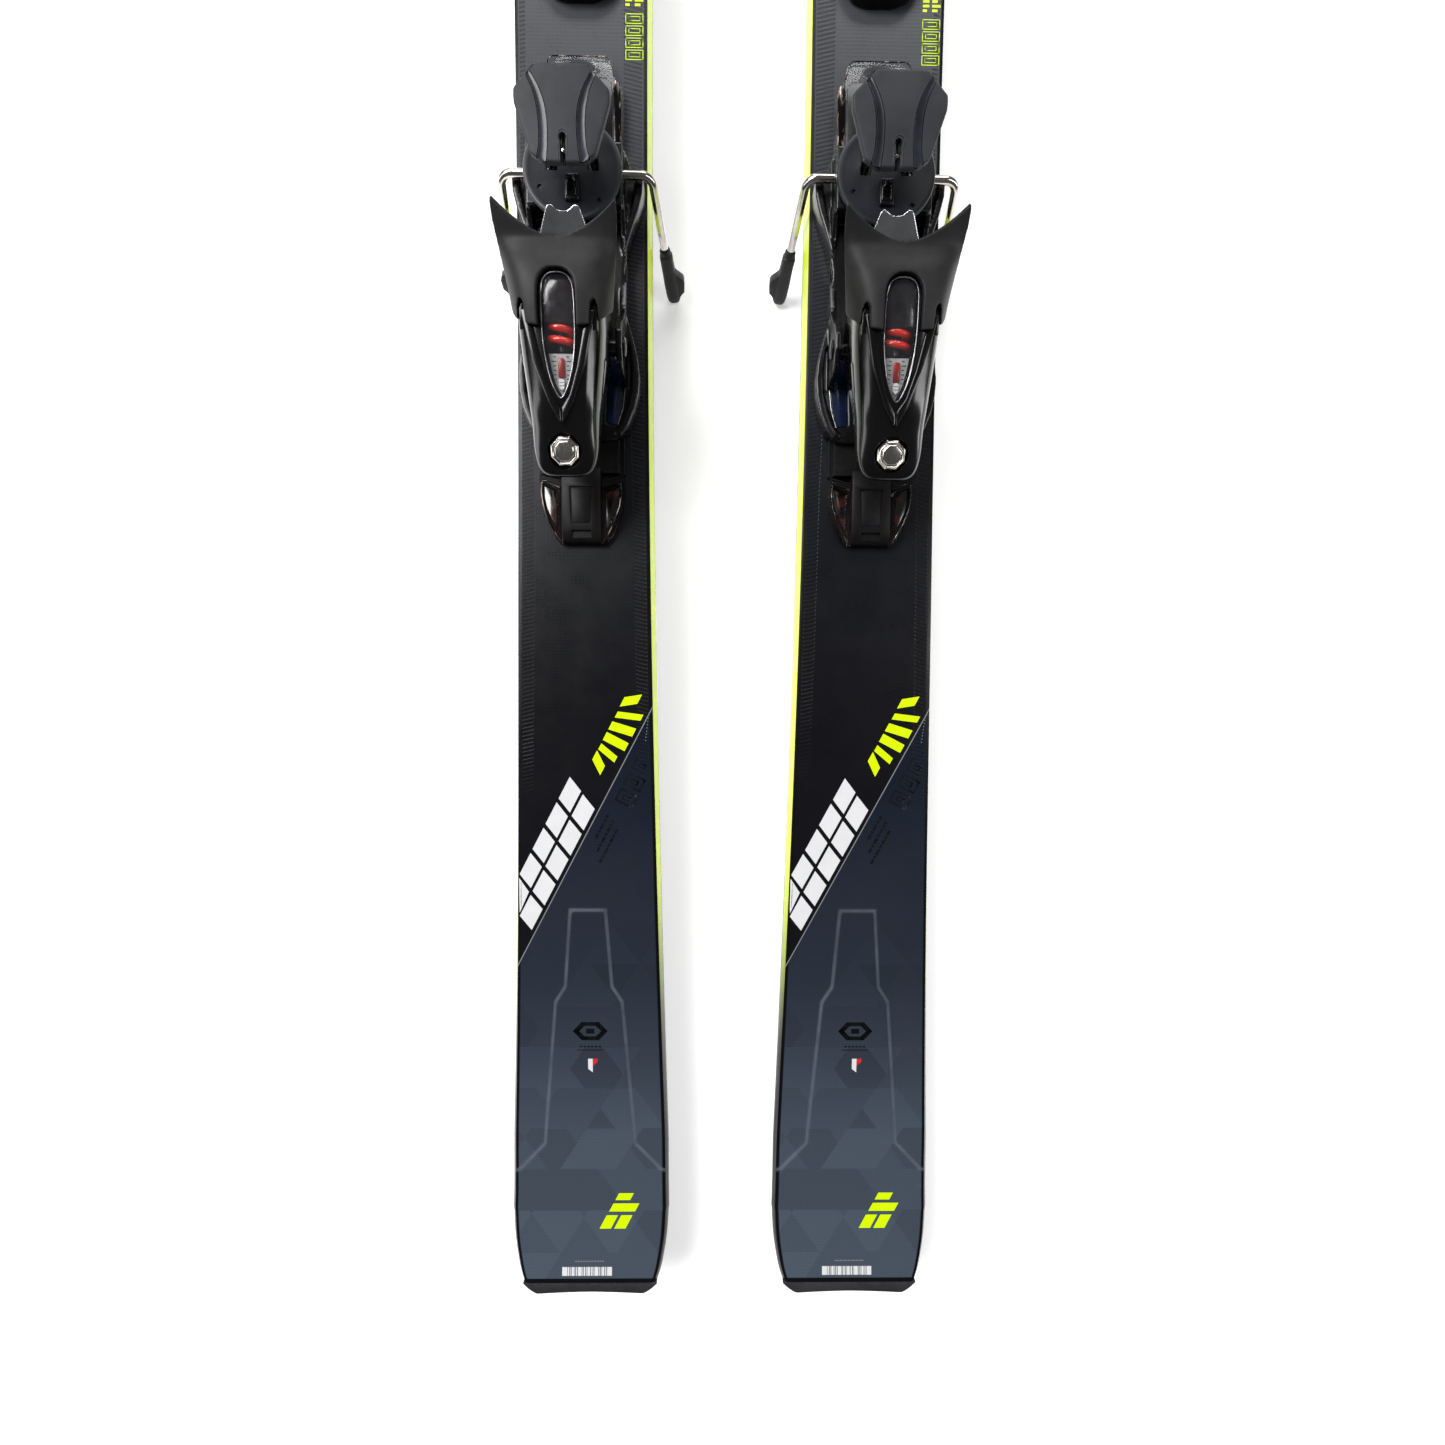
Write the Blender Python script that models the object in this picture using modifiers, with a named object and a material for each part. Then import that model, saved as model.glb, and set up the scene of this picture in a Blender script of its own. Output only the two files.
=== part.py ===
"""A pair of all-mountain alpine skis with step-in bindings, heels open and brakes down.

Metres, +Z up. +Y runs from the tails to the tips, +X to the right-hand ski. The origin is
under the middle of the pair, level with the ends of the brake arms, the lowest points.
Inside each ski the working coordinates are millimetres: x from the ski's centre line,
y from the tail, and either z above the running surface or h above the binding platform.
"""

import math

import bmesh
import bpy
from mathutils import Matrix, Vector

# ---------------------------------------------------------------- driving dimensions, mm
LENGTH = 1850.0
TAIL_WIDTH, WAIST_WIDTH, TIP_WIDTH = 110.5, 86.4, 130.0
TAIL_WIDE_AT, WAIST_AT, TIP_WIDE_AT = 100.0, 800.0, 1700.0
SPACING = 184.0  # between the two centre lines
LIFT = 38.898  # running surface above the ends of the brake arms

CAMBER = 3.5
PLATFORM = (520.0, 1110.0)  # flat stretch that carries the binding
THICK_MIDDLE, THICK_TAIL, THICK_TIP = 14.5, 6.0, 5.5
TIP_RISE, TIP_RISE_FROM = 58.0, 1570.0
TAIL_RISE, TAIL_RISE_FROM = 7.0, 110.0
TOP = CAMBER + THICK_MIDDLE  # platform height above the running surface

BASE_THICK, EDGE_SIZE, TOPSHEET_THICK, SIDEWALL_WIDE = 1.3, 2.0, 0.9, 6.0
PROTECTOR_LONG = 9.0
GAP = 0.3
SET_BACK = 6.0  # how far the whole binding sits behind its drawn y positions

HEEL_PIVOT = (640.0, 30.0)  # y, h of the heel lever's pin
HEEL_OPEN = 35.0  # degrees that the lever stands open
BRAKE_AXIS = (743.5, 21.0)
BRAKE_WIRE = 2.6
PEDAL_CENTRE, PEDAL_TILT = (749.0, 60.0), 8.0
PEDAL_PIVOT = (752.8, 54.57)  # on the wire's cross bar, under the pedal
DISC_CENTRE, DISC_R, DISC_H = 739.5, 29.0, (28.5, 33.0)
SCREW_AT, SCREW_TILT = (570.0, 61.0), 18.0
WING_PIVOT = (19.0, 1012.0)

# ---------------------------------------------------------------- scene
for old in list(bpy.data.objects):
    bpy.data.objects.remove(old, do_unlink=True)

parts = bpy.data.collections.new("alpine_skis_with_bindings")
cutters = bpy.data.collections.new("cutters")
cutters.hide_render = True
bpy.context.scene.collection.children.link(parts)
bpy.context.scene.collection.children.link(cutters)


def make_material(name, colour, roughness, metallic=0.0, alpha=1.0):
    material = bpy.data.materials.new(name)
    material.use_nodes = True
    shader = material.node_tree.nodes["Principled BSDF"]
    shader.inputs["Base Color"].default_value = (*colour, 1.0)
    shader.inputs["Roughness"].default_value = roughness
    shader.inputs["Metallic"].default_value = metallic
    shader.inputs["Alpha"].default_value = alpha
    material.diffuse_color = (*colour, alpha)
    return material


M = {
    "base": make_material("base_polyethylene", (0.02, 0.02, 0.022), 0.5),
    "edge": make_material("edge_steel", (0.55, 0.55, 0.56), 0.3, 1.0),
    "core": make_material("core_wood", (0.62, 0.45, 0.27), 0.7),
    "sidewall": make_material("sidewall_yellow", (0.75, 0.85, 0.06), 0.35),
    "topsheet": make_material("topsheet_slate", (0.04, 0.045, 0.055), 0.4),
    "protector": make_material("protector_black", (0.015, 0.015, 0.016), 0.4),
    "track": make_material("track_black", (0.02, 0.02, 0.022), 0.4),
    "clear": make_material("clear_plastic", (0.7, 0.7, 0.72), 0.08, 0.0, 0.35),
    "carriage": make_material("carriage_black", (0.012, 0.012, 0.014), 0.25),
    "matte": make_material("matte_black", (0.02, 0.02, 0.02), 0.6),
    "gloss": make_material("gloss_black", (0.008, 0.008, 0.009), 0.08),
    "disc": make_material("satin_grey", (0.05, 0.052, 0.056), 0.35),
    "chrome": make_material("chrome", (0.75, 0.73, 0.7), 0.12, 1.0),
    "wire": make_material("wire_steel", (0.6, 0.58, 0.54), 0.2, 1.0),
    "red": make_material("spring_red", (0.6, 0.03, 0.01), 0.3),
    "white": make_material("indicator_white", (0.8, 0.8, 0.8), 0.4),
    "ptfe": make_material("sliding_pad", (0.75, 0.75, 0.72), 0.4),
}


# ---------------------------------------------------------------- tools
class Ski:
    """Names and places the pieces of one ski. side is +1 where +X points to its partner."""

    def __init__(self, prefix, centre_x, side):
        self.prefix, self.centre_x, self.side = prefix, centre_x, side

    def point(self, x, y, z):
        """World metres of a point given in millimetres above the running surface."""
        return Vector(((self.centre_x + x) / 1000, (y - LENGTH / 2) / 1000, (z + LIFT) / 1000))

    def bind(self, x, y, h):
        """The same for the binding: height above its platform, y before the set-back."""
        return self.point(x, y - SET_BACK, TOP + h)


def link(obj, collection):
    collection.objects.link(obj)
    return obj


def mesh_object(name, bm, material, collection=parts, origin=None, angle=35.0):
    bmesh.ops.remove_doubles(bm, verts=bm.verts, dist=1e-7)
    bmesh.ops.recalc_face_normals(bm, faces=bm.faces)
    mesh = bpy.data.meshes.new(name)
    if origin is not None:
        bmesh.ops.translate(bm, verts=bm.verts, vec=-origin)
    bm.to_mesh(mesh)
    bm.free()
    obj = bpy.data.objects.new(name, mesh)
    if origin is not None:
        obj.location = origin
    if material:
        mesh.materials.append(material)
    if collection is cutters:
        obj.hide_render = True
        obj.display_type = "WIRE"
    else:
        mesh.shade_smooth()
        mesh.set_sharp_from_angle(angle=math.radians(angle))
    return link(obj, collection)


def loft(rings, capped=(True, True)):
    """A closed skin over rings of equal point counts."""
    bm = bmesh.new()
    rows = [[bm.verts.new(p) for p in ring] for ring in rings]
    for a, b in zip(rows, rows[1:]):
        for i in range(len(a)):
            j = (i + 1) % len(a)
            bm.faces.new((a[i], a[j], b[j], b[i]))
    if capped[0]:
        bm.faces.new(rows[0][::-1])
    if capped[1]:
        bm.faces.new(rows[-1])
    return bm


def prism(corners, travel):
    """A flat outline pushed along a vector."""
    bm = bmesh.new()
    face = bm.faces.new([bm.verts.new(p) for p in corners])
    made = bmesh.ops.extrude_face_region(bm, geom=[face])
    bmesh.ops.translate(bm, vec=travel, verts=[v for v in made["geom"] if isinstance(v, bmesh.types.BMVert)])
    return bm


def block(ski, low, high):
    a, b = ski.bind(*low), ski.bind(*high)
    bm = bmesh.new()
    bmesh.ops.create_cube(bm, size=1.0)
    bmesh.ops.scale(bm, vec=b - a, verts=bm.verts)
    bmesh.ops.translate(bm, vec=(a + b) / 2, verts=bm.verts)
    return bm


def rod(start, end, radius, sides=20, end_radius=None):
    """A cylinder or cone between two world points."""
    bm = bmesh.new()
    along = end - start
    bmesh.ops.create_cone(
        bm, cap_ends=True, segments=sides, radius1=radius / 1000,
        radius2=(radius if end_radius is None else end_radius) / 1000, depth=along.length,
    )
    turn = along.to_track_quat("Z", "Y").to_matrix().to_4x4()
    bmesh.ops.transform(bm, matrix=Matrix.Translation((start + end) / 2) @ turn, verts=bm.verts)
    return bm


def tube_object(name, points, radius, material, origin, sides_setting=2):
    """A wire along world points, as a curve with filled caps."""
    curve = bpy.data.curves.new(name, "CURVE")
    curve.dimensions = "3D"
    curve.bevel_depth = radius / 1000
    curve.bevel_resolution = sides_setting
    curve.use_fill_caps = True
    spline = curve.splines.new("POLY")
    spline.points.add(len(points) - 1)
    for place, p in zip(spline.points, points):
        place.co = (*(p - origin), 1.0)
    curve.materials.append(material)
    obj = bpy.data.objects.new(name, curve)
    obj.location = origin
    return link(obj, parts)


def boolean(obj, cutter, operation="DIFFERENCE"):
    modifier = obj.modifiers.new(cutter.name, "BOOLEAN")
    modifier.operation = operation
    modifier.solver = "EXACT"
    modifier.object = cutter
    return obj


def rounded(obj, width_mm, segments=2, angle=30.0):
    modifier = obj.modifiers.new("rounding", "BEVEL")
    modifier.width = width_mm / 1000
    modifier.segments = segments
    modifier.limit_method = "ANGLE"
    modifier.angle_limit = math.radians(angle)
    return obj


def mixed(table, at):
    """Straight interpolation in a table of (place, value)."""
    if at <= table[0][0]:
        return table[0][1]
    for (a, va), (b, vb) in zip(table, table[1:]):
        if at <= b:
            return va + (vb - va) * (at - a) / (b - a)
    return table[-1][1]


def smooth(t):
    t = min(1.0, max(0.0, t))
    return t * t * (3 - 2 * t)


def fillet(points, radius, steps=5):
    """Points of a bent wire: corners of the given path replaced with arcs."""
    made = [points[0]]
    for before, corner, after in zip(points, points[1:], points[2:]):
        u, v = (before - corner).normalized(), (after - corner).normalized()
        half = u.angle(v) / 2
        reach = min(radius / 1000 / math.tan(half), 0.48 * (before - corner).length, 0.48 * (after - corner).length)
        r = reach * math.tan(half)
        centre = corner + (u + v).normalized() * (r / math.sin(half))
        a, b = corner + u * reach - centre, corner + v * reach - centre
        for i in range(steps + 1):
            made.append(centre + a.slerp(b, i / steps).normalized() * r)
    return made + [points[-1]]


# ---------------------------------------------------------------- ski shape
def base_z(y):
    """Height of the running surface: camber under the binding, shovel and tail turned up."""
    z = CAMBER * smooth((y - 60) / (PLATFORM[0] - 60)) * smooth((1590 - y) / (1590 - PLATFORM[1]))
    if y > TIP_RISE_FROM:
        z += TIP_RISE * ((y - TIP_RISE_FROM) / (LENGTH - TIP_RISE_FROM)) ** 2.1
    if y < TAIL_RISE_FROM:
        z += TAIL_RISE * ((TAIL_RISE_FROM - y) / TAIL_RISE_FROM) ** 2
    return z


def thick(y):
    if y < PLATFORM[0]:
        return THICK_TAIL + (THICK_MIDDLE - THICK_TAIL) * smooth((y - 20) / (PLATFORM[0] - 20))
    if y > PLATFORM[1]:
        return THICK_TIP + (THICK_MIDDLE - THICK_TIP) * smooth((1640 - y) / (1640 - PLATFORM[1]))
    return THICK_MIDDLE


TAIL_CORNER = [(0, 40), (2, 42.5), (4, 44.6), (7, 46.6), (11, 48.3), (18, 50.4), (26, 52.0), (34, 53.3), (44, 54.4), (60, 55.2)]


def half_width(y):
    if y < 60:
        return mixed(TAIL_CORNER, y)
    if y <= WAIST_AT:
        return (WAIST_WIDTH + (TAIL_WIDTH - WAIST_WIDTH) * ((WAIST_AT - y) / (WAIST_AT - TAIL_WIDE_AT)) ** 2) / 2 - (
            1.2 * (1 - smooth((y - 60) / 60))
        )
    side = (WAIST_WIDTH + (TIP_WIDTH - WAIST_WIDTH) * ((min(y, TIP_WIDE_AT) - WAIST_AT) / (TIP_WIDE_AT - WAIST_AT)) ** 2) / 2
    s = max(0.0, (y - TIP_WIDE_AT + 20) / (LENGTH - TIP_WIDE_AT + 20))
    return side * max(0.0, 1 - s**2.5) ** 0.56


OUTLINE_Y = [
    9.3, 14, 24, 42, 75, 130, 230, 370, 520, 660, 805, 960, 1110, 1260, 1400, 1500, 1570, 1620, 1665, 1705, 1740, 1770,
    1796, 1816, 1831, 1842, 1848,
]


def outline(first):
    """Points (x, y) of the right-hand edge, from y = first to the middle of the tip, with inward normals."""
    places = [first] + [y for y in OUTLINE_Y if y > first + 0.5]
    points = [Vector((half_width(y), y)) for y in places] + [Vector((0.0, LENGTH))]
    normals = []
    for i, p in enumerate(points):
        if i == len(points) - 1:
            normals.append(Vector((0.0, -1.0)))
            continue
        along = points[i + 1] - points[max(i - 1, 0)]
        normals.append(Vector((-along.y, along.x)).normalized())
    return points, normals


def inset(first, distance):
    points, normals = outline(first)
    made = []
    for i, (p, n) in enumerate(zip(points, normals)):
        q = p + n * distance
        if i == 0:
            q.y = first
        if i == len(points) - 1:
            q.x = 0.0
        made.append(q)
    return made


def layer(ski, name, first, distance, low, high, material):
    """A full-width layer between two heights, given as functions of y."""
    rings = []
    for p in inset(first, distance):
        zb, zt = base_z(p.y) + low(p.y), base_z(p.y) + high(p.y)
        rings.append([ski.point(-p.x, p.y, zb), ski.point(p.x, p.y, zb), ski.point(p.x, p.y, zt), ski.point(-p.x, p.y, zt)])
    return mesh_object(f"{ski.prefix}_{name}", loft(rings, (True, False)), material)


def border(ski, name, first, section, material):
    """A strip along both sides and round the tip. section(y) gives its (inset, height) corners."""
    points, _ = outline(first)
    steps = [inset(first, d) for d, _ in section(0)]
    right = []
    for i in range(len(points)):
        ring = []
        for k, (_, z) in enumerate(section(points[i].y)):
            q = steps[k][i]
            ring.append(Vector((q.x, q.y, base_z(q.y) + z)))
        right.append(ring)
    rings = [[ski.point(*p) for p in ring] for ring in right]
    rings += [[ski.point(-p.x, p.y, p.z) for p in ring] for ring in right[-2::-1]]
    return mesh_object(f"{ski.prefix}_{name}", loft(rings), material)


def build_ski_body(ski):
    end = PROTECTOR_LONG + GAP
    layer(ski, "base", end, EDGE_SIZE + GAP, lambda y: 0.0, lambda y: BASE_THICK, M["base"])
    border(
        ski, "steel_edge", end,
        lambda y: [(0.0, 0.1), (0.0, EDGE_SIZE), (EDGE_SIZE, EDGE_SIZE), (EDGE_SIZE, 0.1)], M["edge"],
    )
    border(
        ski, "sidewall", end,
        lambda y: [(0.2, EDGE_SIZE + GAP), (2.5, thick(y) - TOPSHEET_THICK - GAP), (SIDEWALL_WIDE, thick(y) - TOPSHEET_THICK - GAP),
                   (SIDEWALL_WIDE, EDGE_SIZE + GAP)], M["sidewall"],
    )
    layer(
        ski, "core", end, SIDEWALL_WIDE + GAP,
        lambda y: BASE_THICK + GAP, lambda y: thick(y) - TOPSHEET_THICK - GAP, M["core"],
    )
    layer(ski, "topsheet", end, 2.4, lambda y: thick(y) - TOPSHEET_THICK, lambda y: thick(y), M["topsheet"])
    # Tail protector: full section, its end face slightly hollow between two rounded corners.
    count, rows = 16, []
    for i in range(count + 1):
        u = -1 + 2 * i / count
        x = 48.0 * u
        front = PROTECTOR_LONG
        back = max(1.9 * (1 - abs(u) ** 1.6), 7.2 * max(0.0, (abs(u) - 0.72) / 0.28) ** 1.8) - 0.701
        z0, z1 = base_z(front), base_z(front) + thick(front)
        y0, y1 = base_z(back), base_z(back) + thick(back) - 0.6
        rows.append([ski.point(x, front, z0), ski.point(x, back, y0), ski.point(x * 0.992, back, y1), ski.point(x, front, z1 + 0.2)])
    mesh_object(f"{ski.prefix}_tail_protector", loft(rows), M["protector"])


# ---------------------------------------------------------------- heel track
def build_heel_track(ski):
    section = [(-27, GAP), (27, GAP), (27, 4), (24, 4), (24, 8.2), (9, 8.2), (9, 6.6), (-9, 6.6), (-9, 8.2), (-24, 8.2), (-24, 4), (-27, 4)]
    track = mesh_object(
        f"{ski.prefix}_heel_track",
        prism([ski.bind(x, 572, h) for x, h in section], Vector((0, (768 - 572) / 1000, 0))), M["track"],
    )
    # The spine that runs on to the track's rear end, between the clear wings.
    profile = [(574, 2.6), (574, 7.4), (558, 10.5), (536, 10.5), (528, 6.5), (528, 2.6)]
    spine = mesh_object(
        f"{ski.prefix}_cut_spine", prism([ski.bind(-12.4, y, h) for y, h in profile], Vector((0.0248, 0, 0))), None, cutters
    )
    boolean(track, spine, "UNION")

    def plan(points, low, high):
        outer = [ski.bind(x, y, low) for x, y in points]
        return prism(outer, Vector((0, 0, (high - low) / 1000)))

    half = [(27.2, 571.4), (27.0, 560), (24.5, 549), (20.0, 537.5), (14.5, 528.5), (13.4, 527)]
    wings = mesh_object(
        f"{ski.prefix}_heel_track_rear_cap", plan(half + [(-x, y) for x, y in half[::-1]], GAP, 9.6), M["clear"]
    )
    rounded(wings, 1.2, 1)
    boolean(wings, mesh_object(f"{ski.prefix}_cut_spine_slot", block(ski, (-12.9, 520, 2.2), (12.9, 590, 20)), None, cutters))
    half = [(23.8, 768.6), (23.8, 808), (20.5, 816), (16.0, 821.5), (9.0, 823)]
    front = mesh_object(
        f"{ski.prefix}_heel_track_front_cap", plan(half + [(-x, y) for x, y in half[::-1]], GAP, 8.2), M["clear"]
    )
    rounded(front, 1.0, 1)
    ring = [(9.0 * math.cos(a), 814.0 + 4.6 * math.sin(a)) for a in [i * math.tau / 14 for i in range(14)]]
    boolean(front, mesh_object(f"{ski.prefix}_cut_ring", plan(ring, -5, 20), None, cutters))


# ---------------------------------------------------------------- heel carriage, disc and cheeks
CARRIAGE_HALF = [
    (17.0, 600), (24.0, 603), (30.5, 612), (34.4, 624), (34.8, 636), (33.6, 652), (31.0, 672), (29.4, 690), (29.2, 712),
    (30.0, 730), (30.0, 747), (28.8, 759), (24.0, 766),
]


def build_carriage(ski):
    plan = CARRIAGE_HALF + [(-x, y) for x, y in CARRIAGE_HALF[::-1]]
    body = mesh_object(
        f"{ski.prefix}_heel_carriage", prism([ski.bind(x, y, 0.9) for x, y in plan], Vector((0, 0, 0.0126))), M["carriage"]
    )
    rounded(body, 1.6, 1)
    channel = mesh_object(f"{ski.prefix}_cut_channel", block(ski, (-27.5, 560, -5), (27.5, 800, 8.9)), None, cutters)
    boolean(body, channel)
    ear = [(611, 11), (617, 27), (624, 38), (634, 43.5), (646, 43.5), (656, 38), (665, 27), (676, 17), (690, 11)]
    for sign, side in ((1, "p"), (-1, "n")):
        corners = [ski.bind(25.9 * sign, y, h) for y, h in ear]
        shape = mesh_object(f"{ski.prefix}_add_ear_{side}", prism(corners, Vector((0.0052 * sign, 0, 0))), None, cutters)
        boolean(body, shape, "UNION")
        low, high = sorted((19.5 * sign, 26.5 * sign))
        cheek = mesh_object(f"{ski.prefix}_add_cheek_{side}", block(ski, (low, 723, 11), (high, 756, 28.1)), None, cutters)
        boolean(body, cheek, "UNION")
    boolean(body, mesh_object(f"{ski.prefix}_add_hub", block(ski, (-7, 714, 11), (7, 734, 28.1)), None, cutters), "UNION")
    pin_bore = rod(ski.bind(-40, *HEEL_PIVOT), ski.bind(40, *HEEL_PIVOT), 4.3, 16)
    boolean(body, mesh_object(f"{ski.prefix}_cut_pin_bore", pin_bore, None, cutters))
    wire_bore = rod(ski.bind(-40, *BRAKE_AXIS), ski.bind(40, *BRAKE_AXIS), 3.2, 12)
    boolean(body, mesh_object(f"{ski.prefix}_cut_wire_bore", wire_bore, None, cutters))

    pin = rod(ski.bind(-31.8, *HEEL_PIVOT), ski.bind(31.8, *HEEL_PIVOT), 3.9, 16)
    mesh_object(f"{ski.prefix}_heel_pivot_pin", pin, M["chrome"], origin=ski.bind(0, *HEEL_PIVOT))

    disc = mesh_object(
        f"{ski.prefix}_brake_plate",
        rod(ski.bind(0, DISC_CENTRE, DISC_H[0]), ski.bind(0, DISC_CENTRE, DISC_H[1]), DISC_R, 32), M["disc"],
    )
    rounded(disc, 1.0, 1)
    boolean(disc, mesh_object(f"{ski.prefix}_cut_disc", block(ski, (-17, 737, 20), (17, 784, 50)), None, cutters))


# ---------------------------------------------------------------- brake
def pedal_frame(ski):
    tilt = math.radians(PEDAL_TILT)
    along = Vector((0, math.cos(tilt), math.sin(tilt)))
    up = Vector((0, -math.sin(tilt), math.cos(tilt)))
    return ski.bind(0, *PEDAL_CENTRE), Vector((1, 0, 0)), along, up


PEDAL_HALF = [(0.0, -23.6), (11.5, -23.2), (17.8, -19.2), (22.2, -6.4), (25.9, 5.0), (25.9, 12.0), (20.0, 17.8), (14.0, 23.5)]


def build_brake(ski):
    centre, side, along, up = pedal_frame(ski)
    origin = ski.bind(0, *BRAKE_AXIS)
    plan = PEDAL_HALF + [(-x, s) for x, s in PEDAL_HALF[:0:-1]]
    bm = prism([centre + (side * x + along * s - up * 3.0) / 1000 for x, s in plan], up * 0.006)
    pedal = rounded(mesh_object(f"{ski.prefix}_brake_pedal", bm, M["matte"], origin=ski.bind(0, *PEDAL_PIVOT)), 1.4, 1)
    slot = [(-1.6, -32), (1.6, -32), (1.6, -11.5), (0, -10.2), (-1.6, -11.5)]
    bm = prism([centre + (side * x + along * s - up * 9.0) / 1000 for x, s in slot], up * 0.018)
    boolean(pedal, mesh_object(f"{ski.prefix}_cut_pedal_slot", bm, None, cutters))

    for sign, label in ((ski.side, "inner"), (-ski.side, "outer")):
        axis_y, axis_h = BRAKE_AXIS
        corners = [
            ski.bind(2.2 * sign, *PEDAL_PIVOT), ski.bind(12 * sign, *PEDAL_PIVOT), ski.bind(12 * sign, axis_y + 2.2, axis_h + 8),
            ski.bind(12 * sign, axis_y, axis_h), ski.bind(45.2 * sign, axis_y, axis_h),
            ski.bind(50.4 * sign, 724.2, -19.6),
        ]
        path = fillet(corners[:4], 6, 2)[:-1] + fillet(corners[2:], 6, 3)[1:]
        tube_object(f"{ski.prefix}_brake_arm_{label}", path, BRAKE_WIRE, M["wire"], origin, 1)
        # Plastic end: a tapered sleeve with a small lug, in line with the wire.
        start, finish = ski.bind(50.5 * sign, 723.9, -20.3), ski.bind(55.4 * sign, 709.0, -55.5)
        line = finish - start
        axis = line.normalized()
        across = axis.cross(Vector((1, 0, 0))).normalized()
        wide = across.cross(axis)
        rings = []
        for s, a, b in ((0.0, 3.4, 3.6), (0.05, 4.4, 4.6), (0.45, 4.9, 5.2), (0.62, 5.4, 5.8), (0.9, 5.0, 5.4), (1.0, 3.4, 3.8)):
            spot = start + line * s
            rings.append(
                [spot + (across * a * math.cos(t) + wide * b * math.sin(t)) / 1000 for t in [(k + 0.5) * math.tau / 10 for k in range(10)]]
            )
        tip = mesh_object(f"{ski.prefix}_brake_tip_{label}", loft(rings), M["matte"], origin=origin)
        lug = prism(
            [start + line * s + (across * d - wide * 2.2) / 1000 for s, d in ((0.50, 3.0), (0.58, 8.2), (0.80, 8.0), (0.93, 3.0))],
            wide * 0.0044,
        )
        boolean(tip, mesh_object(f"{ski.prefix}_add_lug_{label}", lug, None, cutters), "UNION")


# ---------------------------------------------------------------- heel lever (described closed, turned open)
def opened(ski, x, y, h):
    """A point of the closed lever, turned open about its pin."""
    turn = math.radians(HEEL_OPEN)
    dy, dz = y - HEEL_PIVOT[0], h - HEEL_PIVOT[1]
    return ski.bind(
        x, HEEL_PIVOT[0] + dy * math.cos(turn) - dz * math.sin(turn), HEEL_PIVOT[1] + dy * math.sin(turn) + dz * math.cos(turn)
    )


HOUSING = [  # y, underside, top, half width
    (586.0, 89.5, 96.3, 12.0), (587.2, 85.5, 98.6, 15.0), (590.5, 78.0, 98.8, 16.9), (598.0, 71.5, 96.4, 18.0), (607.0, 63.5, 93.8, 19.2),
    (615.0, 52.5, 91.4, 20.4), (622.0, 39.0, 89.2, 21.6), (627.5, 24.5, 87.2, 22.6), (633.0, 18.2, 84.8, 23.4), (640.0, 16.2, 81.6, 24.2),
    (648.0, 18.6, 78.0, 24.8), (655.0, 24.0, 74.8, 25.0), (664.0, 28.8, 70.8, 24.8), (676.0, 28.4, 65.0, 24.4), (687.0, 28.0, 57.0, 23.6),
    (691.0, 29.0, 52.0, 22.6),
]
WINDOW_HALF = [(0.0, 624.5), (2.4, 627.5), (5.0, 634.5), (7.2, 643.0), (8.5, 652.0), (8.7, 664.0), (8.5, 674.0), (7.0, 678.8), (3.9, 681.3), (0.0, 682.2)]


def slope_frame():
    """Along and normal directions of the window's plane, on the closed lever."""
    a, b = Vector((628.0, 87.0)), Vector((681.0, 62.0))
    along = (b - a).normalized()
    return a, along, Vector((-along.y, along.x))


def on_slope(ski, x, y, lift):
    a, along, normal = slope_frame()
    p = a + along * ((y - a.x) / along.x) + normal * lift
    return opened(ski, x, p.x, p.y)


def cup_surface(ski, rows=6, columns=12, grow=0.0):
    """The outer skin of the heel cup: an arch that opens forwards into two claws. grow widens its rim."""
    crown = [(656, 79.0), (664, 75.6), (676, 69.6), (686, 62.6), (693, 56.0), (697.6, 52.8), (706, 51.4), (716, 50.6)]
    flank = [(656, 56.5), (664, 53.6), (676, 51.4), (690, 50.0), (716, 49.8)]
    wide = [(656, 27.2), (664, 28.0), (676, 29.4), (690, 31.2), (706, 32.6), (716, 32.4)]
    bm = bmesh.new()
    grid = []
    for i in range(rows):
        v = i / (rows - 1)
        line = []
        for j in range(columns + 1):
            u = -1 + 2 * j / columns
            front = 697.6 + 15.6 * abs(u) ** 2.0 + grow
            back = 660.5 + 3.0 * abs(u) ** 2 - grow
            y = back + (front - back) * v
            a = abs(u)
            top, side = mixed(crown, y), mixed(flank, y)
            h = side + (top - side) * (1 - a**2.7) - grow * a**4
            x = mixed(wide, y) * math.copysign(math.sin(min(1.0, a * 1.02) * math.pi / 2) ** 0.86 if a else 0.0, u)
            line.append(bm.verts.new(opened(ski, x, y, h)))
        grid.append(line)
    for r, s in zip(grid, grid[1:]):
        for j in range(columns):
            bm.faces.new((r[j], r[j + 1], s[j + 1], s[j]))
    return bm


def shell(obj, thickness, offset):
    modifier = obj.modifiers.new("shell", "SOLIDIFY")
    modifier.thickness = thickness / 1000
    modifier.offset = offset
    modifier.use_even_offset = False
    return obj


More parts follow.
